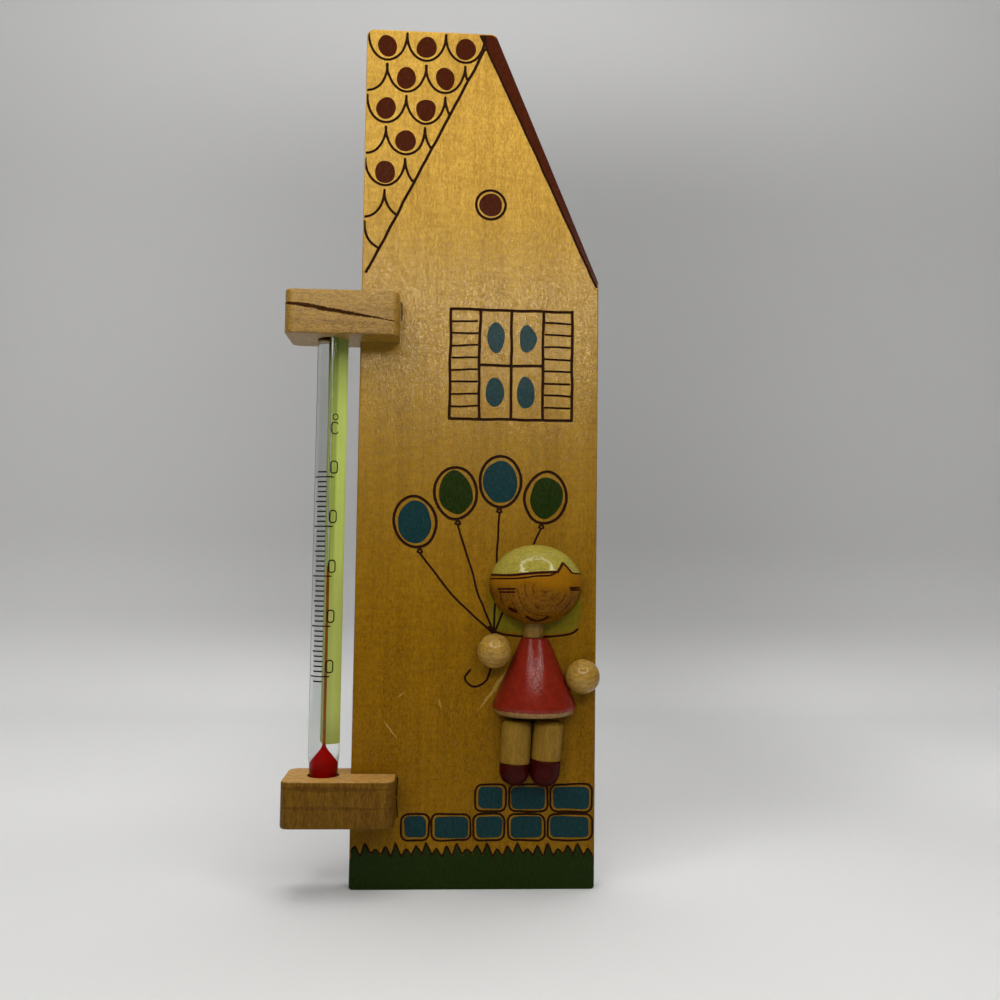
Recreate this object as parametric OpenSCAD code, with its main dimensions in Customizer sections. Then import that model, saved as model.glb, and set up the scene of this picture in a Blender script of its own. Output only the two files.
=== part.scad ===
/* [Board] */
// Height of the board
board_h = 252; // [237:1:290]
// Width of the board
board_w = 70.2; // [68.2:1:90.2]
// Thickness of the board
board_t = 7.7; // [6.5:0.1:12]
// Width of the level stretch of the top edge, left of the slope
top_w = 38.5; // [32:0.5:50]
// Height of the right edge, up to where the slope starts
shoulder_h = 177; // [167:0.5:200]
// Rounding of the two upper corners
top_corner_r = 2.2; // [1:0.1:4]
// Rounding of the corner at the foot of the slope
shoulder_r = 2.5; // [1:0.1:8]
// Rounding of the two corners at the foot
foot_corner_r = 1; // [0.9:0.1:3]
// Small chamfer along the edges of both faces of the board
board_ease = 0.4; // [0.2:0.1:0.8]

/* [Hanging hole] */
// Diameter of the blind hole in the rear face
hang_d = 6; // [4:0.5:9]
// Depth of the hole
hang_depth = 5; // [3:0.1:6]
// Distance of the hole from the board's left edge, above the centre of mass
hang_x = 24.5; // [15:0.5:32]
// Distance of the hole below the board's top edge
hang_drop = 18; // [10:0.5:30]

/* [Blocks] */
// Width of the upper block, across the front of the board
upper_block_w = 32.2; // [28:0.1:38]
// Width of the lower block, across the front of the board
lower_block_w = 31.3; // [28:0.1:38]
// How far each block stands in front of the board's face
block_proud = 11.5; // [8:0.1:13]
// Height of the upper block
upper_block_h = 12.6; // [12.1:0.1:18]
// Height of the lower block
lower_block_h = 12.8; // [9:0.1:18]
// Height of the upper block's underside above the board's foot
upper_block_z = 157.2; // [145:0.1:165]
// Height of the lower block's underside above the board's foot
lower_block_z = 19.9; // [13:0.1:22]
// How far the upper block laps over the front of the board
upper_lap = 11.6; // [9:0.1:16]
// How far the lower block laps over the front of the board
lower_lap = 12.9; // [9:0.1:16]
// Rounding of the blocks' upright edges
block_corner_r = 2.8; // [1.5:0.1:4]
// Small chamfer along the level edges of the blocks
block_ease = 0.5; // [0.2:0.1:1]

/* [Sockets for the tube] */
// Radial clearance of the stem in its sockets
socket_gap = 0.1; // [0.05:0.01:0.3]
// Depth of the socket in the lower block
lower_socket = 5.3; // [4:0.1:6.5]
// Depth of the socket in the upper block, with room to lift the tube out of the lower one
upper_socket = 10; // [9:0.1:11]
// How far the tube reaches into the upper block
tube_engage = 4; // [2:0.1:6]
// Gap under the bulb's round end
seat_gap = 0.05; // [0.02:0.01:0.2]

/* [Glass tube] */
// Diameter of the glass stem
tube_d = 8.9; // [8:0.1:9.5]
// Distance of the tube's axis from the board's left edge
tube_offset = 7.6; // [7:0.1:10]
// Diameter of the capillary bore
bore_d = 0.7; // [0.5:0.05:1.2]
// Outer diameter of the bulb
bulb_d = 8.2; // [7.2:0.1:8.6]
// Diameter of the space inside the bulb
bulb_space_d = 5.5; // [4:0.1:6]
// Thickness of the glass under the bulb's space
bulb_floor = 1.4; // [0.8:0.1:2]
// Length of the bulb, from its round end to the top of its neck
bulb_len = 14.4; // [13:0.1:18]
// Length of the neck, where the bulb's space narrows to the bore
neck_len = 6.4; // [5:0.1:8]
// Length over which the glass widens from the bulb to the stem
shoulder_len = 3.8; // [2:0.1:4.8]
// Rounding of the tube's upper end
tube_end_r = 2.6; // [1:0.1:3.4]
// Diameter of the small gas chamber at the top of the bore
chamber_d = 2; // [1.4:0.1:3]
// Length of the gas chamber
chamber_len = 2; // [1.2:0.1:4]
// Thickness of the glass above the gas chamber
seal_len = 2; // [1.5:0.1:4]

/* [Enamel strip] */
// Width of the strip, as an angle round the tube's axis
strip_angle = 58; // [40:1:80]
// Thickness of the strip
strip_t = 0.5; // [0.3:0.05:0.8]
// Turn of the strip from the rear, which brings its edge behind the bore
strip_turn = 24; // [0:1:90]

/* [Liquid] */
// Temperature that the thread shows, in degrees Celsius
shown_degrees = 22.1; // [-1:0.1:41]
// Height of the zero mark above the board's foot
zero_z = 60.8; // [56:0.1:66]
// Length of one degree on the scale
degree_len = 1.407; // [1.3:0.001:1.5]
// Radial clearance of the thread in the bore
thread_gap = 0.05; // [0.02:0.01:0.1]
// Gap round the liquid in the bulb and round the enamel strip
fill_gap = 0.02; // [0.01:0.01:0.05]

/* [Doll: head and neck] */
// Distance of the doll's centre line from the board's right edge
doll_inset = 17.9; // [17:0.1:21]
// Height of the head's centre above the board's foot
head_z = 87.2; // [86.5:0.1:92]
// Width of the head
head_w = 27; // [22:0.1:28]
// Height of the head
head_h = 23.1; // [18:0.1:24]
// Distance of the head's centre in front of the board's face
head_sit = 1; // [0:0.1:3]
// Diameter of the half-round neck dowel
neck_d = 6; // [4:0.1:7]
// Sideways shift of the neck from the doll's centre line
neck_shift = -0.5; // [-0.8:0.1:0]
// How far the neck goes up into the notch under the head
neck_peg = 2; // [1:0.1:3]
// Clearance round the neck in its notch
neck_gap = 0.05; // [0.02:0.01:0.2]

/* [Doll: dress] */
// Height of the dress's foot above the board's foot
dress_z = 50; // [49.5:0.1:51]
// Height of the dress
dress_h = 21.8; // [18:0.1:22.5]
// Diameter of the dress at its widest
dress_d = 24.2; // [20:0.1:24.8]
// Diameter of the dress at its top
dress_top_d = 7.8; // [7.6:0.1:10]
// Height of the rounded lower edge
hem_h = 2.7; // [1:0.1:4]
// Width of the rounded lower edge
hem_w = 1.5; // [0.5:0.1:3]

/* [Doll: hands] */
// Diameter of the hand balls
hand_d = 9.8; // [8:0.1:9.9]
// Distance of a hand's centre in front of the board's face
hand_sit = 4.3; // [3:0.1:4.7]
// Left hand's centre, to the left of the doll's centre line
left_hand_dx = 11.9; // [11.8:0.1:13.5]
// Height of the left hand's centre above the dress's foot
left_hand_up = 18.2; // [17:0.1:21]
// Right hand's centre, to the right of the doll's centre line
right_hand_dx = 13.5; // [13.4:0.1:14.5]
// Height of the right hand's centre above the dress's foot
right_hand_up = 11.1; // [11:0.1:16]

/* [Doll: legs and shoes] */
// Diameter of the leg dowels
leg_d = 8.6; // [7:0.1:8.7]
// Distance of a leg's axis in front of the board's face
leg_sit = 3.7; // [2.8:0.1:4]
// Distance between the axes of the two legs
leg_pitch = 8.8; // [8.7:0.1:11]
// Gap between the dress's foot and the tops of the legs
leg_gap = 1.5; // [0.5:0.1:3]
// Length of the left leg
left_leg_len = 11.9; // [10:0.1:15]
// Length of the right leg
right_leg_len = 11; // [9:0.1:14]
// Chamfer round the top of a leg
leg_top_ease = 1; // [0.4:0.1:1.5]
// Chamfer round the foot of a leg and the top of a shoe
shoe_ease = 0.3; // [0.1:0.1:0.6]
// Height of the left shoe
left_shoe_h = 6.4; // [4.9:0.1:7.5]
// Height of the right shoe
right_shoe_h = 7.7; // [4.9:0.1:8.5]
// Sideways shift of the legs from the doll's centre line
leg_shift = -1.3; // [-2:0.1:0]
// Lean of the left leg, with its shoe towards the left
left_leg_angle = 2.5; // [0:0.1:2.8]
// Lean of the right leg, with its shoe towards the left
right_leg_angle = 4; // [2.3:0.1:6]

/* [Hidden] */
$fn = 96;
// Steps of a quarter turn of a rounded outline
quarter_steps = 12;
// Facets round the corners of the board and the blocks
corner_fn = 32;
// Overshoot of a cutting solid past the face that it opens
cut = 1;
// A length that reaches past every piece
beyond = 2 * (board_h + board_w);

// Height of the hanging hole above the board's foot
hang_z = board_h - hang_drop;

tube_r = tube_d / 2;
bulb_r = bulb_d / 2;
bore_r = bore_d / 2;
bulb_space_r = bulb_space_d / 2;
// Upper socket, round the stem, and lower socket, which the bulb must pass as well
upper_socket_r = tube_r + socket_gap;
lower_socket_r = max(tube_r, bulb_r) + socket_gap;
// Tube's axis, midway through the depth of the blocks
tube_y = (board_t - block_proud) / 2;
// Lower end of the glass
tube_z0 = lower_block_z + lower_block_h - lower_socket + seat_gap;
// Upper end of the glass
tube_z1 = upper_block_z + tube_engage;
// Top of the bulb's neck, where the thread starts
neck_top = tube_z0 + bulb_len;
// Foot of the bulb's neck, where the bulb is widest
neck_foot = neck_top - neck_len;
// Lower end of the full stem, where the enamel strip starts
stem_z0 = neck_foot + shoulder_len;
// Top of the thread of liquid
thread_top = zero_z + shown_degrees * degree_len;
// Ends of the gas chamber
chamber_z1 = tube_z1 - seal_len;
chamber_z0 = chamber_z1 - chamber_len;

// Doll's centre line
doll_x = board_w - doll_inset;
head_r = head_h / 2;
neck_r = neck_d / 2;
dress_r = dress_d / 2;
hand_r = hand_d / 2;
// Angle below a hand's middle at which its flat starts
hand_flat_angle = asin(hand_sit / hand_r);
dress_top = dress_z + dress_h;
neck_z1 = head_z - head_r + neck_peg;
leg_r = leg_d / 2;
leg_top = dress_z - leg_gap;

// Moves a piece from the board's lower left front corner to the mouth of the hanging hole
module from_hanging_hole() {
    translate([-hang_x, -board_t, -hang_z]) children();
}

// Places a piece on the tube's axis
module on_tube_axis() {
    translate([-tube_offset, tube_y, 0]) children();
}

// Keeps what lies in front of the board's face
module flat_backed() {
    intersection() {
        children();
        translate([-beyond / 2, -beyond, -beyond / 2]) cube([beyond, beyond, beyond]);
    }
}

function unit(v) = v / norm(v);

// Centre of the circle of radius r that rounds the corner at here
function rounding_centre(before, here, after, r) =
    let (u = unit(before - here), v = unit(after - here), half_angle = acos(u * v) / 2)
    here + unit(u + v) * r / sin(half_angle);

// Centres of the circles that round the corners of an outline, each with its own radius
function rounding_centres(outline, radii) =
    let (n = len(outline))
    [for (i = [0:n - 1])
        rounding_centre(outline[(i + n - 1) % n], outline[i], outline[(i + 1) % n], radii[i])];

// Points of an arc of an ellipse round centre, from angle a0 to angle a1
function arc(centre, rx, ry, a0, a1) =
    let (n = ceil(quarter_steps * (a1 - a0) / 90))
    [for (i = [0:n]) let (a = a0 + (a1 - a0) * i / n)
        [centre[0] + rx * cos(a), centre[1] + ry * sin(a)]];

function smooth(t) = t * t * (3 - 2 * t);

// Points of a line of revolution that passes smoothly from radius r0 at z0 to r1 at z1
function blend_line(r0, z0, r1, z1) =
    let (n = quarter_steps)
    [for (i = [0:n]) [r0 + (r1 - r0) * smooth(i / n), z0 + (z1 - z0) * i / n]];

// A slab with rounded upright corners and a small chamfer along its level edges
module eased_slab(outline, h, radii, ease) {
    centres = rounding_centres(outline, radii);
    hull() {
        for (i = [0:len(outline) - 1]) {
            translate(concat(centres[i], 0)) cylinder(h = h, r = radii[i] - ease, $fn = corner_fn);
            translate(concat(centres[i], ease)) cylinder(h = h - 2 * ease, r = radii[i], $fn = corner_fn);
        }
    }
}

// The board, from its foot up, with its front face on the plane y = 0
module back_board() {
    outline = [[0, 0], [board_w, 0], [board_w, shoulder_h], [top_w, board_h], [0, board_h]];
    radii = [foot_corner_r, foot_corner_r, shoulder_r, top_corner_r, top_corner_r];
    color("goldenrod")
    from_hanging_hole()
    difference() {
        translate([0, board_t, 0]) rotate([90, 0, 0])
            eased_slab(outline, board_t, radii, board_ease);
        translate([hang_x, board_t - hang_depth, hang_z]) rotate([-90, 0, 0])
            cylinder(h = hang_depth + cut, d = hang_d);
    }
}

// A block whose rebate wraps the left edge of the board, flush with its rear face
module block(lap, w, z, h) {
    left = lap - w;
    outline = [[left, -block_proud], [lap, -block_proud], [lap, board_t], [left, board_t]];
    radii = [for (corner = outline) block_corner_r];
    difference() {
        translate([0, 0, z]) eased_slab(outline, h, radii, block_ease);
        translate([0, 0, z - cut]) cube([lap + cut, board_t + cut, h + 2 * cut]);
    }
}

// Upper block, with a deep socket that is open below
module upper_block() {
    color("burlywood")
    from_hanging_hole()
    difference() {
        block(upper_lap, upper_block_w, upper_block_z, upper_block_h);
        on_tube_axis() translate([0, 0, upper_block_z - cut])
            cylinder(h = upper_socket + cut, r = upper_socket_r);
    }
}

// Lower block, with a socket that carries the bulb
module lower_block() {
    color("burlywood")
    from_hanging_hole()
    difference() {
        block(lower_lap, lower_block_w, lower_block_z, lower_block_h);
        on_tube_axis() translate([0, 0, lower_block_z + lower_block_h - lower_socket])
            cylinder(h = lower_socket + cut, r = lower_socket_r);
    }
}

// Space inside the glass: bulb, neck, bore and gas chamber, drawn in by gap all round
module glass_space(gap) {
    floor_z = tube_z0 + bulb_floor;
    rotate_extrude() polygon(concat(
        arc([0, neck_foot], bulb_space_r - gap, neck_foot - floor_z - gap, -90, 0),
        blend_line(bulb_space_r - gap, neck_foot, bore_r - gap, neck_top),
        [[0, neck_top]]));
}

// Slot for the enamel strip in the rear of the stem, or the strip itself, drawn in by gap
module strip_sector(gap) {
    z0 = stem_z0 + gap;
    z1 = tube_z1 - tube_end_r - gap;
    rotate([0, 0, 90 - strip_turn - strip_angle / 2])
        translate([0, 0, z0])
        rotate_extrude(angle = strip_angle)
        translate([tube_r - strip_t + gap, 0]) square([strip_t - gap, z1 - z0]);
}

// Solid stem with its bore, blown bulb, gas chamber and sealed, rounded ends
module glass_tube() {
    color("lightcyan", 0.4)
    from_hanging_hole()
    on_tube_axis()
    difference() {
        rotate_extrude() polygon(concat(
            arc([0, neck_foot], bulb_r, neck_foot - tube_z0, -90, 0),
            blend_line(bulb_r, neck_foot, tube_r, stem_z0),
            arc([tube_r - tube_end_r, tube_z1 - tube_end_r], tube_end_r, tube_end_r, 0, 90),
            [[0, tube_z1]]));
        glass_space(0);
        translate([0, 0, neck_top]) cylinder(h = chamber_z0 - neck_top + cut, r = bore_r);
        translate([0, 0, chamber_z0]) cylinder(h = chamber_len, d = chamber_d);
        strip_sector(0);
    }
}

// Yellow-green enamel strip, let flush into the back of the stem
module enamel_strip() {
    color("yellowgreen")
    from_hanging_hole()
    on_tube_axis()
    strip_sector(fill_gap);
}

// Red liquid that fills the bulb and its neck
module bulb_liquid() {
    color("firebrick")
    from_hanging_hole()
    on_tube_axis()
    glass_space(fill_gap);
}

// Thread of liquid in the bore, from the neck up to the reading
module liquid_column() {
    color("orangered")
    from_hanging_hole()
    on_tube_axis()
    translate([0, 0, neck_top]) cylinder(h = thread_top - neck_top, r = bore_r - thread_gap);
}

// The turned head: wider than it is high, and round about its level axis
module head_ball() {
    translate([doll_x, -head_sit, head_z]) rotate([0, 90, 0])
        rotate_extrude() polygon(arc([0, 0], head_r, head_w / 2, -90, 90));
}

// The neck, drawn out by gap all round
module neck_round(gap) {
    translate([doll_x + neck_shift, 0, dress_top]) cylinder(h = neck_z1 - dress_top + gap, r = neck_r + gap);
}

// Flat-backed head, with a half-round notch for the neck
module doll_head() {
    color("peru")
    from_hanging_hole()
    difference() {
        flat_backed() head_ball();
        neck_round(neck_gap);
    }
}

// Half-round dowel that stands on the dress and goes up into the head
module neck_dowel() {
    color("burlywood")
    from_hanging_hole()
    flat_backed() neck_round(0);
}

// Half of a turned cone, with a rounded lower edge
module dress() {
    color("firebrick")
    from_hanging_hole()
    flat_backed()
    translate([doll_x, 0, dress_z])
    rotate_extrude() polygon(concat(
        [[0, 0]],
        arc([dress_r - hem_w, hem_h], hem_w, hem_h, -90, 0),
        [[dress_top_d / 2, dress_h], [0, dress_h]]));
}

// Ball with a small flat where it is glued to the board
module hand(dx, up) {
    color("tan")
    from_hanging_hole()
    translate([doll_x + dx, 0, dress_z + up]) rotate([90, 0, 0])
        rotate_extrude() polygon(concat([[0, 0]], arc([0, hand_sit], hand_r, hand_r, -hand_flat_angle, 90)));
}

module left_hand() {
    hand(-left_hand_dx, left_hand_up);
}

module right_hand() {
    hand(right_hand_dx, right_hand_up);
}

// Places a leg or a shoe: the axis leans about the middle of the joint between the two
module on_leg_axis(side, angle, leg_len) {
    translate([doll_x + leg_shift + side * leg_pitch / 2, -leg_sit, leg_top - leg_len])
        rotate([0, angle, 0]) children();
}

// Dowel with chamfered ends, flattened at the back
module leg(side, angle, leg_len) {
    color("wheat")
    from_hanging_hole()
    flat_backed()
    on_leg_axis(side, angle, leg_len)
    rotate_extrude() polygon([
        [0, 0], [leg_r - shoe_ease, 0], [leg_r, shoe_ease], [leg_r, leg_len - leg_top_ease],
        [leg_r - leg_top_ease, leg_len], [0, leg_len]]);
}

// Half ball below a short round collar, flattened at the back
module shoe(side, angle, leg_len, h) {
    color("maroon")
    from_hanging_hole()
    flat_backed()
    on_leg_axis(side, angle, leg_len)
    rotate_extrude() polygon(concat(
        arc([0, leg_r - h], leg_r, leg_r, -90, 0),
        [[leg_r, -shoe_ease], [leg_r - shoe_ease, 0], [0, 0]]));
}

module left_leg() {
    leg(-1, left_leg_angle, left_leg_len);
}

module right_leg() {
    leg(1, right_leg_angle, right_leg_len);
}

module left_shoe() {
    shoe(-1, left_leg_angle, left_leg_len, left_shoe_h);
}

module right_shoe() {
    shoe(1, right_leg_angle, right_leg_len, right_shoe_h);
}

back_board();
upper_block();
lower_block();
glass_tube();
enamel_strip();
bulb_liquid();
liquid_column();
doll_head();
neck_dowel();
dress();
left_hand();
right_hand();
left_leg();
right_leg();
left_shoe();
right_shoe();
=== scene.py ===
# %% [markdown]
# # A wooden wall thermometer, dressed
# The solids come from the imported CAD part, and this file gives them their looks: a varnished
# board with a burnt and painted picture, two natural wood blocks, a glass spirit thermometer
# and a turned wooden doll. The first cell loads the solids and keeps their box, so that the
# dressed model can be measured against it at the end.

import math

import bmesh
import bpy
import numpy as np
from mathutils import Matrix, Vector, geometry, kdtree, noise


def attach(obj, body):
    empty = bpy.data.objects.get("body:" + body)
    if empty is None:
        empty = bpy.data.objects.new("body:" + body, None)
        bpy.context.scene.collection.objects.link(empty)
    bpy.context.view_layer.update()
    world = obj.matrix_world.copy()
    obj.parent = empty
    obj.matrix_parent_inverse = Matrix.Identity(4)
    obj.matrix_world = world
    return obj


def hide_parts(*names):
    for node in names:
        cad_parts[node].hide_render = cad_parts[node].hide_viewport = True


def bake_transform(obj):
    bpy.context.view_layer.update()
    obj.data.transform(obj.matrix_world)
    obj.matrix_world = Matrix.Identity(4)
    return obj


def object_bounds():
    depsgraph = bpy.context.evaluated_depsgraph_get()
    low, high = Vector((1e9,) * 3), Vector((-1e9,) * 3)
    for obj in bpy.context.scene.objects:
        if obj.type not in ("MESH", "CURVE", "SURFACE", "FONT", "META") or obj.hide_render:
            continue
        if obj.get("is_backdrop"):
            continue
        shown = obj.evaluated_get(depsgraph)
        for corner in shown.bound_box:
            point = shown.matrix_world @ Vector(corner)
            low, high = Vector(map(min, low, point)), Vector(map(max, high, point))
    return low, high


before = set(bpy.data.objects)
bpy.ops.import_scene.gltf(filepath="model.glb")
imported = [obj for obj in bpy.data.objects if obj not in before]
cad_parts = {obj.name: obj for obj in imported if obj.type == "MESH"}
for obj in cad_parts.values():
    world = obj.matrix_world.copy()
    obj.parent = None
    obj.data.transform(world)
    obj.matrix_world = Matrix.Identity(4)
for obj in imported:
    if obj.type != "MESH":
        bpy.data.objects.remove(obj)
cad_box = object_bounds()

# %% [markdown]
# ## Places on the work
# Every length below is in millimetres, measured from the lower left front corner of the board,
# because that is how a maker would mark the work out: x to the right, y into the board, z up.
# The CAD frame is in metres from the hanging hole, so one helper turns the one into the other.
# A second helper puts a new object into the scene, which takes two steps in Blender.

# %% Places on the work
MM = 0.001
HANGING_HOLE = (24.5, 7.7, 234.0)
BOARD_W, BOARD_H, BOARD_T = 70.2, 252.0, 7.7


def place(x, y, z):
    """A place on the work in millimetres, as a point of the CAD frame in metres."""
    return Vector([(v - hole) * MM for v, hole in zip((x, y, z), HANGING_HOLE)])


def new_object(name, data):
    """An object in the scene that shows the given mesh, lamp or camera."""
    made = bpy.data.objects.new(name, data)
    bpy.context.scene.collection.objects.link(made)
    return made


print("the board's lower right corner is at", [round(v, 4) for v in place(BOARD_W, 0, 0)], "m")

# %% [markdown]
# ## The camera
# The photograph is square and was taken about 30 cm in front of the board, a little below its
# middle, looking a little up and to the right. A plain lens as long as the sensor is wide
# gives the same perspective. The camera is placed by its position and two directions, which
# is easier to read back than three angles.

# %% Place the camera
CAMERA_AT = Vector((0.00057, -0.2994, -0.13969))
LOOKS_ALONG = Vector((0.05651, 0.99664, 0.05929)).normalized()
CAMERA_UP = Vector((-0.01675, -0.05843, 0.99815))
SENSOR_WIDTH = 36.0

camera_data = bpy.data.cameras.new("camera")
camera_data.sensor_width = SENSOR_WIDTH
camera_data.lens = SENSOR_WIDTH
camera_data.clip_start = 0.01
camera = new_object("camera", camera_data)
right_side = LOOKS_ALONG.cross(CAMERA_UP).normalized()
upward = right_side.cross(LOOKS_ALONG)
turn = Matrix((right_side, upward, -LOOKS_ALONG)).transposed()
camera.matrix_world = Matrix.Translation(CAMERA_AT) @ turn.to_4x4()
bpy.context.scene.camera = camera
bpy.context.scene.view_settings.view_transform = "Standard"
print("camera at", [round(v, 3) for v in CAMERA_AT])

# %% [markdown]
# ## Writing materials
# A procedural material is a small net of nodes. Written out in full, even a plain wood takes a
# page, so the first helpers keep such nets short: one makes a material with its shader, one
# adds a node and joins its inputs in the same line, and the others do sums and mix colours.


# %% Helpers that write nodes
def new_finish(name):
    """An empty material with its Principled shader, joined to the output."""
    finish = bpy.data.materials.new(name)
    finish.use_nodes = True
    finish.node_tree.nodes.clear()
    shader = add(finish, "ShaderNodeBsdfPrincipled")
    add(finish, "ShaderNodeOutputMaterial", {"Surface": shader.outputs[0]})
    return finish, shader


def add(finish, kind, inputs=None, **settings):
    """Adds a node. Each input is a value, or the output of another node."""
    node = finish.node_tree.nodes.new(kind)
    for name, value in settings.items():
        setattr(node, name, value)
    for name, value in (inputs or {}).items():
        put(finish, node.inputs[name], value)
    return node


def put(finish, socket, value):
    """Gives a socket its value, or joins it to another node."""
    if isinstance(value, bpy.types.NodeSocket):
        finish.node_tree.links.new(value, socket)
    elif hasattr(value, "__len__") and len(value) == 3 and socket.type == "RGBA":
        socket.default_value = (*value, 1.0)
    else:
        socket.default_value = value


def calc(finish, operation, a, b=0.0, c=0.0):
    """One sum on numbers."""
    return add(finish, "ShaderNodeMath", {0: a, 1: b, 2: c}, operation=operation).outputs[0]


def times(finish, a, b):
    return calc(finish, "MULTIPLY", a, b)


def mix(finish, share, a, b, way="MIX"):
    """Colour a, with the given share of colour b."""
    node = add(finish, "ShaderNodeMix", {0: share, 6: a, 7: b}, data_type="RGBA", blend_type=way)
    return node.outputs[2]


def ramp(finish, value, low, high, out_low=0.0, out_high=1.0):
    """Maps low..high to out_low..out_high with soft ends."""
    inputs = {"Value": value, "From Min": low, "From Max": high, "To Min": out_low, "To Max": out_high}
    return add(finish, "ShaderNodeMapRange", inputs, interpolation_type="SMOOTHSTEP").outputs[0]


def darker(colour, share):
    return tuple(share * v for v in colour)


print("helpers for nodes ready")

# %% [markdown]
# ## Places, speckles and bumps in a material
# All textures are read from object coordinates, which are the CAD frame in metres, so grain
# runs through the wood as it does in a real block and needs no unwrapping. Noise is given by
# the width of its blotches in millimetres, and relief by its depth in millimetres, because
# both can then be judged against the real thing.


# %% Helpers that read places
def coords(finish, stretch=(1.0, 1.0, 1.0), shift=(0.0, 0.0, 0.0)):
    """Object coordinates, moved and stretched."""
    source = add(finish, "ShaderNodeTexCoord").outputs["Object"]
    inputs = {"Vector": source, "Location": shift, "Scale": stretch}
    return add(finish, "ShaderNodeMapping", inputs).outputs[0]


def where(finish, axis):
    """One object coordinate, in metres of the CAD frame."""
    return add(finish, "ShaderNodeSeparateXYZ", {0: coords(finish)}).outputs[axis]


def between(finish, axis, low, high, out_low=0.0, out_high=1.0):
    """Goes from out_low to out_high between two places on the work, in mm along one axis."""
    hole = HANGING_HOLE["XYZ".index(axis)]
    return ramp(finish, where(finish, axis), (low - hole) * MM, (high - hole) * MM, out_low, out_high)


def speckle(finish, spot, size_mm, detail=3.0, rough=0.55):
    """Noise whose blotches are about size_mm wide."""
    inputs = {"Vector": spot, "Scale": 1.0 / (size_mm * MM), "Detail": detail, "Roughness": rough}
    return add(finish, "ShaderNodeTexNoise", inputs).outputs[0]


def bumps(finish, height, depth_mm, under=None):
    """Surface relief from a height of 0..1, on top of other relief."""
    inputs = {"Height": height, "Distance": depth_mm * MM, "Strength": 1.0}
    if under is not None:
        inputs["Normal"] = under
    return add(finish, "ShaderNodeBump", inputs).outputs[0]


print("helpers for places ready")

# %% [markdown]
# ## The floor and the wall
# The object stands on a plain pale floor that rises into a pale wall behind it. One sweep of paper makes
# both, so no edge shows. The paper's tones are laid out by place: darker on the wall and on the floor
# behind the object than beside it, and paler at the top of the wall. These are painted shade and painted
# light, which stand in for the shade of the real board, which leans back a little towards its backdrop.

# %% Make the floor and the wall
FLOOR_Z = -HANGING_HOLE[2] * MM
SWEEP_FRONT, SWEEP_BACK, SWEEP_TOP, SWEEP_SIDE = -2.2, 0.42, 2.2, 3.0
BEND, BEND_STEPS = 0.11, 16
DARKEST_X = 0.07


def stage_sweep():
    """The paper's mesh: a flat floor, a quarter round and an upright wall."""
    line = [(SWEEP_FRONT, 0.0), (SWEEP_BACK - BEND, 0.0)]
    for step in range(1, BEND_STEPS + 1):
        angle = math.radians(90 * step / BEND_STEPS)
        line.append((SWEEP_BACK - BEND + BEND * math.sin(angle), BEND - BEND * math.cos(angle)))
    line.append((SWEEP_BACK, SWEEP_TOP))
    verts = [(x, y, FLOOR_Z + z) for y, z in line for x in (-SWEEP_SIDE, SWEEP_SIDE)]
    faces = [(2 * i, 2 * i + 1, 2 * i + 3, 2 * i + 2) for i in range(len(line) - 1)]
    mesh = bpy.data.meshes.new("stage")
    mesh.from_pydata(verts, [], faces)
    mesh.shade_smooth()
    stage = new_object("stage", mesh)
    stage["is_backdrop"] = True
    return stage


def grey(tone):
    return (tone, tone, tone)


def stage_paper():
    """Pale paper, its tones laid out by place: painted shade behind the object and painted light at the top
    of the wall.
    """
    paper, shader = new_finish("pale_paper")
    # painted shade: the paper is darkest on the wall and the floor behind the object, and painted light
    # makes the wall paler at the top
    sideways = calc(paper, "ABSOLUTE", calc(paper, "SUBTRACT", where(paper, "X"), DARKEST_X))
    wall = mix(paper, ramp(paper, sideways, 0.02, 0.38), grey(0.41), grey(0.61))
    wall = mix(paper, between(paper, "Z", 344, 504), wall, grey(0.69))
    behind = mix(paper, ramp(paper, sideways, 0.05, 0.20), grey(0.57), grey(0.75))
    floor = mix(paper, between(paper, "Y", BOARD_T, BOARD_T + 110), grey(0.63), behind)
    tone = mix(paper, between(paper, "Z", 0, 60), floor, wall)
    cloudy = ramp(paper, speckle(paper, coords(paper), 300.0, 1.0), 0.3, 0.7, 0.0, 0.06)
    put(paper, shader.inputs["Base Color"], mix(paper, cloudy, tone, grey(0.4)))
    shader.inputs["Roughness"].default_value = 0.9
    shader.inputs["Specular IOR Level"].default_value = 0.1
    return paper


stage_sweep().data.materials.append(stage_paper())
print("floor at", FLOOR_Z, "wall at", SWEEP_BACK)

# %% [markdown]
# ## The lamps
# A ring lamp hangs above and in front. Its round reflection is what makes the varnished balls
# read as glossy, so it is a glowing mesh that reflections see, and the camera and the glass
# don't. A small lamp near the board's top lights the upper end more than the lower. A wide
# softbox lights the floor from above, and a soft lamp at the left fills in. These three leave
# no reflection of their own.

# %% Hang the lamps
RING_AT, RING_FACES = Vector((0.03, -0.20, 0.18)), Vector((0.0, 0.825, -0.565))
RING_R, RING_W, RING_STEPS, RING_STRENGTH = 0.21, 0.05, 64, 9.0
ROOM_LIGHT = 0.05


def aim(thing, at, towards):
    """Puts a lamp at a place and turns its bright side towards another."""
    thing.location = at
    thing.rotation_mode = "QUATERNION"
    thing.rotation_quaternion = (Vector(towards) - Vector(at)).to_track_quat("-Z", "Y")


def lamp(name, at, towards, size, power):
    """A soft round lamp that leaves no reflection of its own."""
    data = bpy.data.lights.new(name, "AREA")
    data.shape = "DISK"
    data.size = size
    data.energy = power
    lit = new_object(name, data)
    aim(lit, at, towards)
    lit.visible_glossy = False


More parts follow.
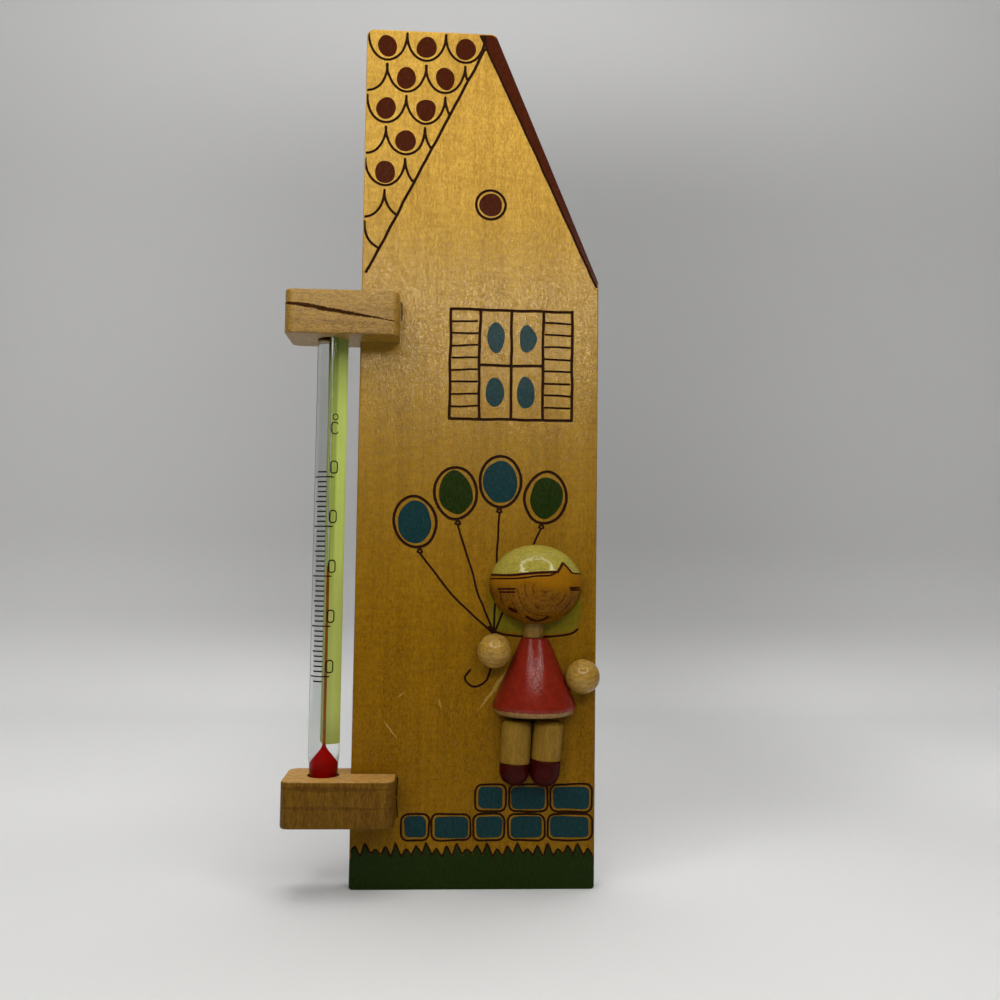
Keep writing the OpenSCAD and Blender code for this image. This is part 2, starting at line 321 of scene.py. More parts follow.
def ring_lamp():
    """A flat glowing ring."""
    verts, faces = [], []
    for step in range(RING_STEPS):
        angle = 2 * math.pi * step / RING_STEPS
        for reach in (RING_R - RING_W / 2, RING_R + RING_W / 2):
            verts.append((reach * math.cos(angle), reach * math.sin(angle), 0.0))
        after = (step + 1) % RING_STEPS
        faces.append((2 * step, 2 * after, 2 * after + 1, 2 * step + 1))
    mesh = bpy.data.meshes.new("ring_lamp")
    mesh.from_pydata(verts, [], faces)
    glow = bpy.data.materials.new("ring_glow")
    glow.use_nodes = True
    glow.node_tree.nodes.clear()
    light = add(glow, "ShaderNodeEmission", {"Color": (1.0, 0.985, 0.96), "Strength": RING_STRENGTH})
    add(glow, "ShaderNodeOutputMaterial", {"Surface": light.outputs[0]})
    mesh.materials.append(glow)
    ring = new_object("ring_lamp", mesh)
    aim(ring, RING_AT, RING_AT + RING_FACES)
    ring.visible_camera = False
    ring.visible_transmission = False
    ring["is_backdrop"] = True


ring_lamp()
lamp("near_lamp", (0.02, -0.16, 0.10), (0.01, 0.0, 0.0), 0.12, 0.12)
lamp("softbox", (0.03, 0.24, 1.10), (0.03, 0.24, FLOOR_Z), 0.9, 10.0)
lamp("left_fill", (-0.8, -1.1, 0.5), (0.0, 0.0, -0.12), 0.8, 3.0)

world = bpy.data.worlds.new("room")
bpy.context.scene.world = world
world.use_nodes = True
room = world.node_tree.nodes["Background"].inputs
room["Color"].default_value = (*grey(ROOM_LIGHT), 1.0)
room["Strength"].default_value = 1.0

# %% [markdown]
# ## Lines and outlines
# The picture on the board is drawn with lines, and each line becomes a real groove. So the
# first tools are for flat lines: resample one to even steps, let it waver a little as a hand
# does, and draw ovals and round-cornered boxes. The waver is a smooth noise, of which each
# line reads a layer of its own. Blender's noise starts from the clock unless it is given a
# seed, so it gets one here, and the picture is the same in every run.


# %% Helpers for flat lines
WAVER_SEED = 1
noise.seed_set(WAVER_SEED)


def resample(points, step, closed=False):
    """The same line with points about one step apart."""
    line = np.array(points, float)
    if closed:
        line = np.vstack([line, line[:1]])
    lengths = np.hypot(*np.diff(line, axis=0).T)
    along = np.concatenate([[0.0], np.cumsum(lengths)])
    count = max(2, int(round(along[-1] / step)) + 1)
    marks = np.linspace(0.0, along[-1], count)
    evened = np.column_stack([np.interp(marks, along, line[:, k]) for k in (0, 1)])
    return evened[:-1] if closed else evened


def by_hand(points, waver, layer):
    """Lets a line waver by up to about that much. The layer chooses how."""
    line = np.array(points, float)
    for row, (x, z) in enumerate(line):
        shift = noise.noise_vector(Vector((x * 0.16, z * 0.16, 7.3 * layer)))
        line[row] += waver * np.array([shift[0], shift[1]])
    return line


def oval(x, z, half_x, half_z, start=0.0, end=360.0, tilt=0.0):
    """Points on an oval, from one angle to another."""
    count = max(6, int(abs(end - start) / 6) + 1)
    angles = np.radians(np.linspace(start, end, count))
    lean = math.radians(tilt)
    a, b = half_x * np.cos(angles), half_z * np.sin(angles)
    across = x + a * math.cos(lean) - b * math.sin(lean)
    up = z + a * math.sin(lean) + b * math.cos(lean)
    return np.column_stack([across, up])


def round_box(x0, z0, x1, z1, r):
    """An upright box with round corners."""
    corners = [(x1 - r, z1 - r, 0), (x0 + r, z1 - r, 90), (x0 + r, z0 + r, 180), (x1 - r, z0 + r, 270)]
    return np.vstack([oval(cx, cz, r, r, a, a + 90) for cx, cz, a in corners])


def inside(points, outline):
    """Which points lie within a closed outline."""
    x, z = points[:, 0], points[:, 1]
    hit = np.zeros(len(points), bool)
    for (x0, z0), (x1, z1) in zip(outline, np.roll(outline, -1, axis=0)):
        crosses = (z0 > z) != (z1 > z)
        if z0 != z1:
            hit ^= crosses & (x < (x1 - x0) * (z - z0) / (z1 - z0) + x0)
    return hit


def inset(outline, amount):
    """The outline, anticlockwise, moved inwards by amount with mitred corners."""
    before = outline - np.roll(outline, 1, axis=0)
    after = np.roll(outline, -1, axis=0) - outline
    normals = []
    for edge in (before, after):
        length = np.hypot(edge[:, 0], edge[:, 1])[:, None]
        normals.append(np.column_stack([-edge[:, 1], edge[:, 0]]) / length)
    a, b = normals
    spread = 1.0 + (a * b).sum(axis=1)[:, None]
    return outline + amount * (a + b) / spread


print("points on a 10 mm circle:", len(oval(0.0, 0.0, 5.0, 5.0)))

# %% [markdown]
# ## Points for a groove
# A burnt line is a shallow round groove with scorched flanks. To have it in the mesh, points
# are set out along each line in lanes: one in the middle, others on its flanks and beyond. A
# sieve drops every point that falls too near one already kept, which matters where two lines
# cross. The share of the way from the middle to the flank gives each point its depth and its
# scorch.

# %% Helpers for grooves
LANES = (0.0, 1.0, -1.0, 0.55, -0.55)
SCORCH_ENDS, SCORCH_FADE = 1.75, 0.85


class Sieve:
    """Keeps points that are at least a gap apart."""

    def __init__(self, gap):
        self.gap, self.cells, self.points = gap, {}, []

    def offer(self, point, always=False):
        cell = (int(math.floor(point[0] / self.gap)), int(math.floor(point[1] / self.gap)))
        if not always:
            for i in (-1, 0, 1):
                for j in (-1, 0, 1):
                    for x, z in self.cells.get((cell[0] + i, cell[1] + j), ()):
                        if (x - point[0]) ** 2 + (z - point[1]) ** 2 < self.gap ** 2:
                            return
        self.cells.setdefault(cell, []).append((point[0], point[1]))
        self.points.append((point[0], point[1]))


def lane_points(line, half_width, step):
    """Points along a line, in lanes on both sides of it, and round its ends."""
    line = resample(line, step)
    way = np.gradient(line, axis=0)
    way /= np.maximum(np.hypot(way[:, 0], way[:, 1])[:, None], 1e-9)
    across = np.column_stack([-way[:, 1], way[:, 0]])
    lanes = [line + across * half_width * lane for lane in LANES]
    outer = max(SCORCH_ENDS * half_width, half_width + 0.12)
    lanes += [line + across * outer, line - across * outer]
    ends = []
    for tip, direction in ((line[0], -way[0]), (line[-1], way[-1])):
        side = np.array([-direction[1], direction[0]])
        for reach in (0.55, 1.0, outer / half_width):
            for angle in (-50, 0, 50):
                a = math.radians(angle)
                ends.append(tip + half_width * reach * (direction * math.cos(a) + side * math.sin(a)))
    return np.vstack(lanes + [np.array(ends)])


def groove_depths(points, grooves):
    """How deep in a groove each point lies and how much it is scorched, both 0..1."""
    sunk, scorch = np.zeros(len(points)), np.zeros(len(points))
    if not grooves:
        return sunk, scorch
    dense = [(p, width) for line, width in grooves for p in resample(line, 0.25 * width)]
    tree = kdtree.KDTree(len(dense))
    for row, (p, _) in enumerate(dense):
        tree.insert((p[0], p[1], 0.0), row)
    tree.balance()
    for row, point in enumerate(points):
        _, nearest, distance = tree.find((point[0], point[1], 0.0))
        share = distance / dense[nearest][1]
        sunk[row] = max(0.0, 1.0 - share * share)
        scorch[row] = min(1.0, max(0.0, (SCORCH_ENDS - share) / SCORCH_FADE))
    return sunk, scorch


print("lanes beside a burnt line:", len(LANES) + 2)

# %% [markdown]
# ## A flat face with grooves
# A Delaunay triangulation joins the points. Outlines of paint are given to it as edges, so
# that paint ends in a crisp line. Where a patch of paint runs off the face, only the part of
# its outline on the face counts. The same tool fills plain faces round a hole.


# %% Helper for a grooved face
def grooved_face(outline, grooves, paints, step, grid, holes=()):
    """Triangles that fill an outline, with points set out for grooves and paint.

    grooves are (line, half width). paints are closed outlines. Returns the points, the
    triangles, how deep in a groove each point lies (0..1), its scorch (0..1), and the
    number of the paint that each triangle lies in, or -1.
    """
    sieve = Sieve(0.2 * step)
    edges = []
    within = inset(outline, 0.3 * step)
    for loop in (outline, *holes, *paints):
        kept = np.ones(len(loop), bool) if loop is outline or not len(paints) else inside(loop, within)
        row = {}
        for order in np.flatnonzero(kept):
            row[order] = len(sieve.points)
            sieve.offer(loop[order], always=True)
        edges += [(row[i], row[(i + 1) % len(loop)]) for i in row if (i + 1) % len(loop) in row]
    offered = [lane_points(line, half_width, step) for line, half_width in grooves]
    low, high = outline.min(axis=0), outline.max(axis=0)
    across, up = np.meshgrid(np.arange(low[0], high[0], grid), np.arange(low[1], high[1], grid))
    offered.append(np.column_stack([across.ravel(), up.ravel()]) + 0.37 * grid)

    def on_face(points):
        keep = inside(points, outline)
        for hole in holes:
            keep &= ~inside(points, hole)
        return keep

    for points in offered:
        for point in points[on_face(points)]:
            sieve.offer(point)
    found = geometry.delaunay_2d_cdt([Vector(p) for p in sieve.points], edges, [], 0, 1e-6)
    points = np.array([(v[0], v[1]) for v in found[0]])
    triangles = np.array([t for t in found[2] if len(t) == 3])
    triangles = triangles[on_face(points[triangles].mean(axis=1))]
    middles = points[triangles].mean(axis=1)
    painted = np.full(len(triangles), -1)
    for number, paint in enumerate(paints):
        painted[inside(middles, paint)] = number
    sunk, scorch = groove_depths(points, grooves)
    print("  face with", len(grooves), "grooves:", len(points), "points,", len(triangles), "triangles")
    return points, triangles, sunk, scorch, painted


print("points on the outline of a test plate:", len(round_box(0.0, 0.0, 10.0, 10.0, 2.0)))


# %% [markdown]
# ## From points to a piece
# Every piece is made in the same way: a mesh from points in millimetres, its finishes, smooth shading up to
# an angle, then the body that it rides on, and the CAD node that it stands for is hidden. One helper does
# all of it, so that no piece is left behind when a joint moves. The glass keeps the faces of its bore
# turned towards the bore, so it is shaded smooth without turning any face.


# %% Helper for pieces
def piece(name, verts, faces, finishes, body, slot, replaced=(), smooth=35.0, scorch=None, which=None):
    """Makes a piece, hangs it on its body and hides the nodes it replaces. Its slot is not used."""
    mesh = bpy.data.meshes.new(name)
    mesh.from_pydata([place(*v) for v in verts], [], [tuple(int(i) for i in f) for f in faces])
    if scorch is not None:
        burnt = mesh.attributes.new("scorch", "FLOAT", "POINT")
        burnt.data.foreach_set("value", np.array(scorch, np.float32))
    for finish in finishes:
        mesh.materials.append(finish)
    if which is not None:
        mesh.polygons.foreach_set("material_index", which)
    mesh.update()
    if smooth:
        shade(mesh, smooth)
    else:
        mesh.shade_smooth()
    made = new_object(name, mesh)
    if body:
        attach(made, body)
    if replaced:
        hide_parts(*replaced)
    size = [round(1000 * v, 1) for v in made.dimensions]
    print(f"{name}: {len(mesh.vertices)} points, {len(mesh.polygons)} faces, {size} mm")
    return made


def shade(mesh, smooth):
    """Turns all faces outwards and shades them smooth, up to an angle."""
    work = bmesh.new()
    work.from_mesh(mesh)
    bmesh.ops.recalc_face_normals(work, faces=work.faces)
    for edge in work.edges:
        edge.smooth = len(edge.link_faces) == 2 and edge.calc_face_angle(0.0) < math.radians(smooth)
    for face in work.faces:
        face.smooth = True
    work.to_mesh(mesh)
    work.free()


print("helpers for pieces ready")

# %% [markdown]
# ## Stacks of loops
# The board and the blocks are slabs. A slab is a stack of outlines, each a little further in
# or out than the last, which gives its edges a small round instead of a sharp arris. Faces
# join each outline to the next, and a cap of triangles closes each end, round a hole where
# there is one.


# %% Helpers for slabs
def rounded(corners, radii, step):
    """A closed outline, anticlockwise, each corner rounded by its own radius."""
    corners = [np.array(c, float) for c in corners]
    loop = []
    before_each, after_each = corners[-1:] + corners, corners[1:] + corners[:1]
    for before, here, after, radius in zip(before_each, corners, after_each, radii):
        a, b = before - here, after - here
        a, b = a / np.hypot(*a), b / np.hypot(*b)
        half = math.acos(max(-1.0, min(1.0, float(a @ b)))) / 2
        middle = here + (a + b) / np.hypot(*(a + b)) * radius / math.sin(half)
        reach = radius / math.tan(half)
        start, end = here + a * reach - middle, here + b * reach - middle
        from_angle, to_angle = math.atan2(start[1], start[0]), math.atan2(end[1], end[0])
        while to_angle < from_angle:
            to_angle += 2 * math.pi
        for angle in np.linspace(from_angle, to_angle, 9):
            loop.append(middle + radius * np.array([math.cos(angle), math.sin(angle)]))
    loop = np.array(loop)
    filled = []
    for here, after in zip(loop, np.roll(loop, -1, axis=0)):
        count = max(1, int(round(np.hypot(*(after - here)) / step)))
        filled += [here + (after - here) * k / count for k in range(count)]
    return np.array(filled)


def edge_levels(ease, length):
    """How far in, and how far along, each outline of a stack lies."""
    angles = [math.radians(a) for a in (0, 30, 60, 90)]
    levels = [(ease * (1 - math.sin(a)), ease * (1 - math.cos(a))) for a in angles]
    return levels + [(a, length - b) for a, b in reversed(levels)]


def next_ring(verts, points):
    """Adds points and returns their numbers."""
    verts += points
    return list(range(len(verts) - len(points), len(verts)))


def join_loops(rings):
    """Faces between stacked loops that have equally many points."""
    faces = []
    for low, high in zip(rings, rings[1:]):
        count = len(low)
        faces += [(low[i], low[(i + 1) % count], high[(i + 1) % count], high[i]) for i in range(count)]
    return faces


def cap(verts, ring, flat, raised, step, grid, hole=()):
    """Closes a ring with triangles, round a hole if there is one.

    flat reads a point as two measures on the cap, and raised turns two measures back into a
    point. Returns the faces, and the numbers of the points round the hole.
    """
    loop = np.array([flat(verts[i]) for i in ring])
    points, triangles, *_ = grooved_face(loop, [], [], step, grid, holes=(hole,) if len(hole) else ())
    number = list(ring) + next_ring(verts, [raised(*p) for p in points[len(ring):]])
    mouth = number[len(ring):len(ring) + len(hole)]
    return [tuple(number[i] for i in t) for t in triangles], mouth


print("levels in a slab:", len(edge_levels(0.4, BOARD_T)))

# %% [markdown]
# ## Turned work
# A turner's piece is a line swung round an axis, so the helpers swing a line of radius and
# height, draw smooth lines and quarter rounds for it, and ease its corners. A turned piece
# that is glued to the board is cut flat where it touches it, as the maker saws or sands it.


# %% Helpers for turned work
def turned(line, steps=96, centre=(0.0, 0.0, 0.0)):
    """Swings a line of (radius, height) round an upright axis. A radius of 0 closes it."""
    verts, rings = [], []
    x, y, z = centre
    turns = [2 * math.pi * step / steps for step in range(steps)]
    for radius, height in line:
        if radius < 1e-6:
            rings.append(next_ring(verts, [(x, y, z + height)]))
            continue
        ring = [(x + radius * math.cos(a), y + radius * math.sin(a), z + height) for a in turns]
        rings.append(next_ring(verts, ring))
    faces = []
    for low, high in zip(rings, rings[1:]):
        for step in range(steps):
            after = (step + 1) % steps
            if len(low) == 1:
                faces.append((low[0], high[after], high[step]))
            elif len(high) == 1:
                faces.append((low[step], low[after], high[0]))
            else:
                faces.append((low[step], low[after], high[after], high[step]))
    return verts, faces


def curve_line(points, steps=8):
    """A smooth line through the given points."""
    p = np.array(points, float)
    p = np.vstack([2 * p[0] - p[1], p, 2 * p[-1] - p[-2]])
    line = []
    for a, b, c, d in zip(p, p[1:], p[2:], p[3:]):
        for t in np.arange(steps) / steps:
            line.append(0.5 * (2 * b + (c - a) * t + (2 * a - 5 * b + 4 * c - d) * t * t
                               + (3 * b - a - 3 * c + d) * t ** 3))
    line.append(p[-2])
    return np.array(line)


def quarter(cx, cz, r, start, end, count=8):
    """Part of a circle, as a turner's line."""
    angles = [math.radians(a) for a in np.linspace(start, end, count)]
    return [(cx + r * math.cos(a), cz + r * math.sin(a)) for a in angles]


def soft_corner(points, radius=0.25):
    """A turned line with its corners eased by small arcs."""
    line = [points[0]]
    for before, here, after in zip(points, points[1:], points[2:]):
        b, h, a = (np.array(p, float) for p in (before, here, after))
        u, w = (b - h), (a - h)
        r = min(radius, 0.4 * np.hypot(*u), 0.4 * np.hypot(*w))
        u, w = u / np.hypot(*u), w / np.hypot(*w)
        for t in (0.0, 0.33, 0.67, 1.0):
            p, q = h + u * r * (1 - t), h + w * r * t
            line.append(tuple(p * (1 - t) + q * t))
    return line + [points[-1]]


def flat_backed(verts, faces):
    """Cuts away what lies behind the board's face, and closes the cut with a flat."""
    work = bmesh.new()
    made = [work.verts.new(v) for v in verts]
    for face in faces:
        work.faces.new([made[i] for i in face])
    everything = work.verts[:] + work.edges[:] + work.faces[:]
    cut = bmesh.ops.bisect_plane(work, geom=everything, dist=1e-5, plane_co=(0, 0, 0), plane_no=(0, 1, 0),
                                 clear_outer=True)
    rim = [e for e in cut["geom_cut"] if isinstance(e, bmesh.types.BMEdge)]
    bmesh.ops.contextual_create(work, geom=rim)
    work.verts.index_update()
    verts = [tuple(v.co) for v in work.verts]
    faces = [tuple(v.index for v in f.verts) for f in work.faces]
    work.free()
    return verts, faces


print("points on a plain turned peg:", len(turned([(0.0, 0.0), (1.0, 0.0), (1.0, 5.0), (0.0, 5.0)])[0]))

# %% [markdown]
# ## Wood
# All the wood here is pale, close-grained wood such as lime, birch or beech. Its look is built
# up in layers: broad bands of growth, streaks and fine fibres drawn out along the grain,
# cloudy patches, and small dark flecks and pores. The bands are distances from a long axis,
# so that end grain shows rings and side grain shows stripes without a change of recipe. The
# fibres also give the relief, and a finer grit in relief and sheen gives the varnish sparks.


# %% The wood recipe
def drawn_out(along, amount):
    """A stretch that draws a pattern out along the grain."""
    return tuple(amount if axis == along else 1.0 for axis in "XYZ")


def wood_tones(finish, light, dark, along="Z", ring_mm=2.6, twist=1.0, pith=(-0.03, 0.02, 0.0), seed=0.0,
               draw=0.045, fleck=0.25, fibre_mm=0.7):
    """Colour of bare wood and the height of its fibres."""
    shift = (pith[0] + 0.013 * seed, pith[1] + 0.007 * seed, pith[2])
    long_grain = coords(finish, drawn_out(along, 0.045), shift)
    drift = times(finish, speckle(finish, long_grain, 9.0, 2.0), 0.0016 * twist)
    drift = add(finish, "ShaderNodeCombineXYZ", {"X": drift, "Y": drift, "Z": drift}).outputs[0]
    warped = add(finish, "ShaderNodeVectorMath", {0: long_grain, 1: drift}, operation="ADD").outputs[0]
    rings = year_rings(finish, warped, along, ring_mm, 1.4 * twist, 2.0, 1.5)
    fibres = speckle(finish, coords(finish, drawn_out(along, draw), shift), fibre_mm, 3.0, 0.6)
    streaks = speckle(finish, long_grain, 1.7, 3.0, 0.55)
    patches = speckle(finish, coords(finish, (1.0, 1.0, 0.35)), 22.0, 2.0)
    share = times(finish, rings, 0.14)
    share = calc(finish, "ADD", share, ramp(finish, streaks, 0.30, 0.72, 0.0, 0.26))
    share = calc(finish, "ADD", share, ramp(finish, fibres, 0.36, 0.64, 0.0, 0.55))
    share = calc(finish, "ADD", share, ramp(finish, patches, 0.35, 0.7, 0.0, 0.15))
    tone = mix(finish, share, light, dark)
    short_grain = coords(finish, drawn_out(along, 0.25), shift)
    flecks = ramp(finish, speckle(finish, short_grain, 0.55, 2.0), 0.56, 0.72)
    tone = mix(finish, times(finish, flecks, fleck), tone, darker(dark, 0.45))
    pores = ramp(finish, speckle(finish, coords(finish, drawn_out(along, 0.14)), 0.30, 1.0), 0.70, 0.78)
    return mix(finish, times(finish, pores, 0.4), tone, darker(dark, 0.35)), fibres


def year_rings(finish, spot, along, ring_mm, distortion, detail, detail_scale):
    """Rings round an axis along the grain, 0..1 from one year to the next."""
    inputs = {"Vector": spot, "Scale": 0.314 / (ring_mm * MM), "Distortion": distortion, "Detail": detail,
              "Detail Scale": detail_scale}
    node = add(finish, "ShaderNodeTexWave", inputs, wave_type="RINGS", rings_direction=along,
               wave_profile="SIN")
    return node.outputs[1]


def bare_wood(name, light, dark, along="Z", gloss=0.45, coat=0.0, relief=0.05, specular=0.3, **grain):
    """Wood with a thin satin finish, whose fine grit catches the light in sparks."""
    finish, shader = new_finish(name)
    tone, fibres = wood_tones(finish, light, dark, along, **grain)
    put(finish, shader.inputs["Base Color"], tone)
    put(finish, shader.inputs["Roughness"], ramp(finish, fibres, 0.3, 0.7, gloss, gloss + 0.14))
    glint = bumps(finish, speckle(finish, coords(finish), 0.30, 1.0), 0.3 * relief)
    put(finish, shader.inputs["Normal"], bumps(finish, fibres, relief, glint))
    sparks = speckle(finish, coords(finish), 0.32, 2.0)
    shine = ramp(finish, sparks, 0.38, 0.62, 0.3 * specular, 1.8 * specular)
    put(finish, shader.inputs["Specular IOR Level"], shine)
    if coat:
        shader.inputs["Coat Weight"].default_value = coat
        shader.inputs["Coat Roughness"].default_value = 0.09
    return finish


back_finish = bare_wood("bare_back", (0.36, 0.24, 0.10), (0.24, 0.145, 0.05), "Z", 0.6, 0.0, ring_mm=7.0)
print("nodes in a bare wood:", len(back_finish.node_tree.nodes))

# %% [markdown]
# ## Streaks and scratches
# A dark streak in the upper block, the scratches in the varnish and a small knot are each one
# ragged line, thick in its middle and thin at its ends. They aren't cut into the mesh, because
# they have no depth worth it. The helper measures how far a place is from such a line, seen
# from the front, and bends that distance with noise.


# %% Helper for streaks and scratches
def near_line(finish, start, end, half_width, waver_mm=0.6, swell=0.0):
    """How near a place is to a line seen from the front, 1 on it and 0 off it."""
    a, b = place(start[0], 0, start[1]), place(end[0], 0, end[1])
    length = math.hypot(b.x - a.x, b.z - a.z)
    ux, uz = (b.x - a.x) / length, (b.z - a.z) / length
    from_x = calc(finish, "SUBTRACT", where(finish, "X"), a.x)
    from_z = calc(finish, "SUBTRACT", where(finish, "Z"), a.z)
    along = calc(finish, "MULTIPLY_ADD", from_x, ux, times(finish, from_z, uz))
    along = calc(finish, "DIVIDE", along, length)
    across = calc(finish, "SUBTRACT", times(finish, from_z, ux), times(finish, from_x, uz))
    bend = calc(finish, "SUBTRACT", speckle(finish, coords(finish, (0.3, 1.0, 1.0)), 4.0, 3.0), 0.5)
    across = calc(finish, "MULTIPLY_ADD", bend, 2.0 * waver_mm * MM, across)
    ragged = calc(finish, "SUBTRACT", speckle(finish, coords(finish, (0.5, 1.0, 1.0)), 0.7, 2.0), 0.5)
    across = calc(finish, "MULTIPLY_ADD", ragged, 1.2 * half_width * MM, across)
    swelling = ramp(finish, along, -0.05, 0.25 + swell, 0.25, 1.0)
    body = times(finish, swelling, ramp(finish, along, 0.5, 1.0, 1.0, 0.12))
    width = times(finish, body, half_width * MM)
    share = calc(finish, "DIVIDE", calc(finish, "ABSOLUTE", across), width)
    on_line = ramp(finish, share, 0.55, 1.15, 1.0, 0.0)
    ends = times(finish, ramp(finish, along, -0.03, 0.03), ramp(finish, along, 0.97, 1.03, 1.0, 0.0))
    return times(finish, on_line, ends)


print("helper for streaks ready")

# %% [markdown]
# ## The board's varnished wood
# Under everything on the board is honey-coloured wood. The board is darker and browner towards its foot:
# the same wood is multiplied by a brown that deepens downwards, which is painted shade for the light that
# falls off towards the foot. A fine speckle stands for the grit that a brushed varnish holds.

# %% The board's varnished wood
WHITE = (1.0, 1.0, 1.0)
HONEY = (0.660, 0.400, 0.070)
HONEY_DARK = (0.340, 0.180, 0.022)
FOOT_SHADE_MIDDLE, FOOT_SHADE_LOW = (0.56, 0.53, 0.32), (0.352, 0.282, 0.027)
BARED_WOOD, KNOT_WOOD = (0.42, 0.27, 0.07), (0.11, 0.045, 0.006)
SCRATCHES = (((44.1, 61.8), (36.0, 50.3), 0.55), ((24.6, 54.0), (25.6, 50.6), 0.24),
             ((13.0, 54.2), (15.4, 56.0), 0.22), ((9.0, 47.5), (13.6, 42.0), 0.30))


def honey_wood(finish):
    """Colour of the varnished board, with its scratches and its knot, painted shade towards its foot, and
    its fibres.
    """
    tone, fibres = wood_tones(finish, HONEY, HONEY_DARK, "Z", ring_mm=7.0, twist=1.6,
                              pith=(0.012, 0.09, 0.0), draw=0.40, fleck=0.18, fibre_mm=0.5)
    ripple = speckle(finish, coords(finish, (0.16, 1.0, 1.0)), 0.9, 3.0)
    tone = mix(finish, ramp(finish, ripple, 0.40, 0.68, 0.0, 0.30), tone, HONEY_DARK)
    # painted shade: a brown that deepens towards the foot, where the light falls off
    foot_shade = mix(finish, between(finish, "Z", 155, 224, 1.0, 0.0), WHITE, FOOT_SHADE_MIDDLE)
    foot_shade = mix(finish, between(finish, "Z", 59, 162, 1.0, 0.0), foot_shade, FOOT_SHADE_LOW)
    tone = mix(finish, 1.0, tone, foot_shade, "MULTIPLY")
    grit = speckle(finish, coords(finish, (1.0, 1.0, 0.7)), 0.34, 1.0)
    tone = mix(finish, ramp(finish, grit, 0.42, 0.66, 0.0, 0.26), tone, darker(HONEY_DARK, 0.8))
    for start, end, half_width in SCRATCHES:
        scratch = near_line(finish, start, end, half_width, 0.8)
        tone = mix(finish, times(finish, scratch, 0.45), tone, BARED_WOOD)
    knot = near_line(finish, (64.4, 184.4), (66.0, 182.2), 0.9, 0.5)
    return mix(finish, times(finish, knot, 0.45), tone, KNOT_WOOD), fibres


print("scratches:", len(SCRATCHES))

# %% [markdown]
# ## Varnish, scorch and paint on the board
# The board has one recipe with variants. A painted place puts a thin coat over the wood that
# lets some grain through, so it looks brushed on wood and not printed. Every variant ends with
# the scorch that the grooves carry. The gloss of bare varnish is golden, because the varnish
# has yellowed, and is broken into sparks. It is strongest across the middle of the board.

# %% Finishes of the board
SCORCHED = (0.022, 0.008, 0.004)
DARK_RED = (0.044, 0.0048, 0.0014)
TEAL = (0.0022, 0.028, 0.032)
DARK_GREEN = (0.0062, 0.0190, 0.0006)
YELLOW_GREEN = (0.150, 0.132, 0.005)
GOLDEN_GLOSS = (1.0, 0.88, 0.62, 1.0)


def groove_scorch(finish):
    return add(finish, "ShaderNodeAttribute", attribute_name="scorch").outputs["Fac"]


def board_finish(name, paint=None, cover=0.985, streak=0.45):
    """Varnished wood, or paint over it. cover is how much of the wood the paint hides."""
    finish, shader = new_finish(name)
    tone, fibres = honey_wood(finish)
    if paint:
        brushed = speckle(finish, coords(finish, (1.0, 1.0, 0.2)), 0.7, 3.0)
        streaky = ramp(finish, brushed, 0.35, 0.7, 0.0, streak)
        shade_of_paint = mix(finish, streaky, paint, darker(paint, 0.55))
        tone = mix(finish, ramp(finish, fibres, 0.55, 0.80, cover, cover - 0.06), tone, shade_of_paint)
    flicker = times(finish, speckle(finish, coords(finish), 0.5, 2.0), 0.35)
    burnt = ramp(finish, calc(finish, "ADD", groove_scorch(finish), flicker), 0.42, 1.0)
    put(finish, shader.inputs["Base Color"], mix(finish, burnt, tone, SCORCHED))
    rough = ramp(finish, fibres, 0.3, 0.7, 0.22, 0.34)
    put(finish, shader.inputs["Roughness"], calc(finish, "ADD", rough, times(finish, burnt, 0.3)))
    glint = bumps(finish, speckle(finish, coords(finish, (0.6, 1.0, 1.0)), 0.32, 1.0), 0.035)
    grain = bumps(finish, fibres, 0.07, glint)
    skin = speckle(finish, coords(finish), 0.9 if paint else 2.5, 3.0)
    put(finish, shader.inputs["Normal"], bumps(finish, skin, 0.06 if paint else 0.03, grain))
    shine = between(finish, "Z", 84, 154, 0.08, 0.12 if paint else 0.45)
    shine = times(finish, shine, between(finish, "Z", 169, 199, 1.0, 0.4))
    if not paint:
        shader.inputs["Specular Tint"].default_value = GOLDEN_GLOSS
        sparks = speckle(finish, coords(finish, (0.5, 1.0, 1.0)), 0.34, 2.0)
        shine = times(finish, shine, ramp(finish, sparks, 0.38, 0.62, 0.3, 1.8))
    shine = times(finish, shine, ramp(finish, burnt, 0.0, 1.0, 1.0, 0.1))
    put(finish, shader.inputs["Specular IOR Level"], shine)
    return finish


board_finishes = [board_finish("varnished_wood"), board_finish("red_paint", DARK_RED),
                  board_finish("teal_paint", TEAL), board_finish("green_paint", DARK_GREEN),
                  board_finish("hair_paint_flat", YELLOW_GREEN, 0.80, 0.5), back_finish]
WOOD, RED, BLUE, GREEN, HAIR, BARE = range(6)
print("board finishes:", [f.name for f in board_finishes])

# %% [markdown]
# ## The picture on the board
# A souvenir board like this carries a burnt and painted picture. Here it is a plain pattern of
# house motifs: a shingled roof corner with a painted dot on each shingle, a red eave along the
# slope, a round attic light, a shuttered window, four balloons on strings, and a low wall of
# round-cornered stones with grass below. Each motif adds its lines to one list and its patches
# of paint to another. A line is burnt with the broad side of the tip, or with its fine side.

# %% Lists for the picture
TOP_W, SHOULDER_H = 38.5, 177.0
LINE_R, FINE_R = 0.34, 0.25
burnt_lines, patches = [], []


def burn(points, half_width=LINE_R, waver=0.25):
    """Adds a burnt line, drawn by hand."""
    layer = len(burnt_lines)
    burnt_lines.append((by_hand(resample(points, 0.8), waver, layer), half_width))


def colour_in(points, paint, waver=0.45):
    """Adds a patch of paint, its edge drawn by hand."""
    layer = 100 + len(patches)
    patches.append((by_hand(resample(points, 0.7, closed=True), waver, layer), paint))


print("a broad line is", 2 * LINE_R, "mm wide, a fine one", 2 * FINE_R)

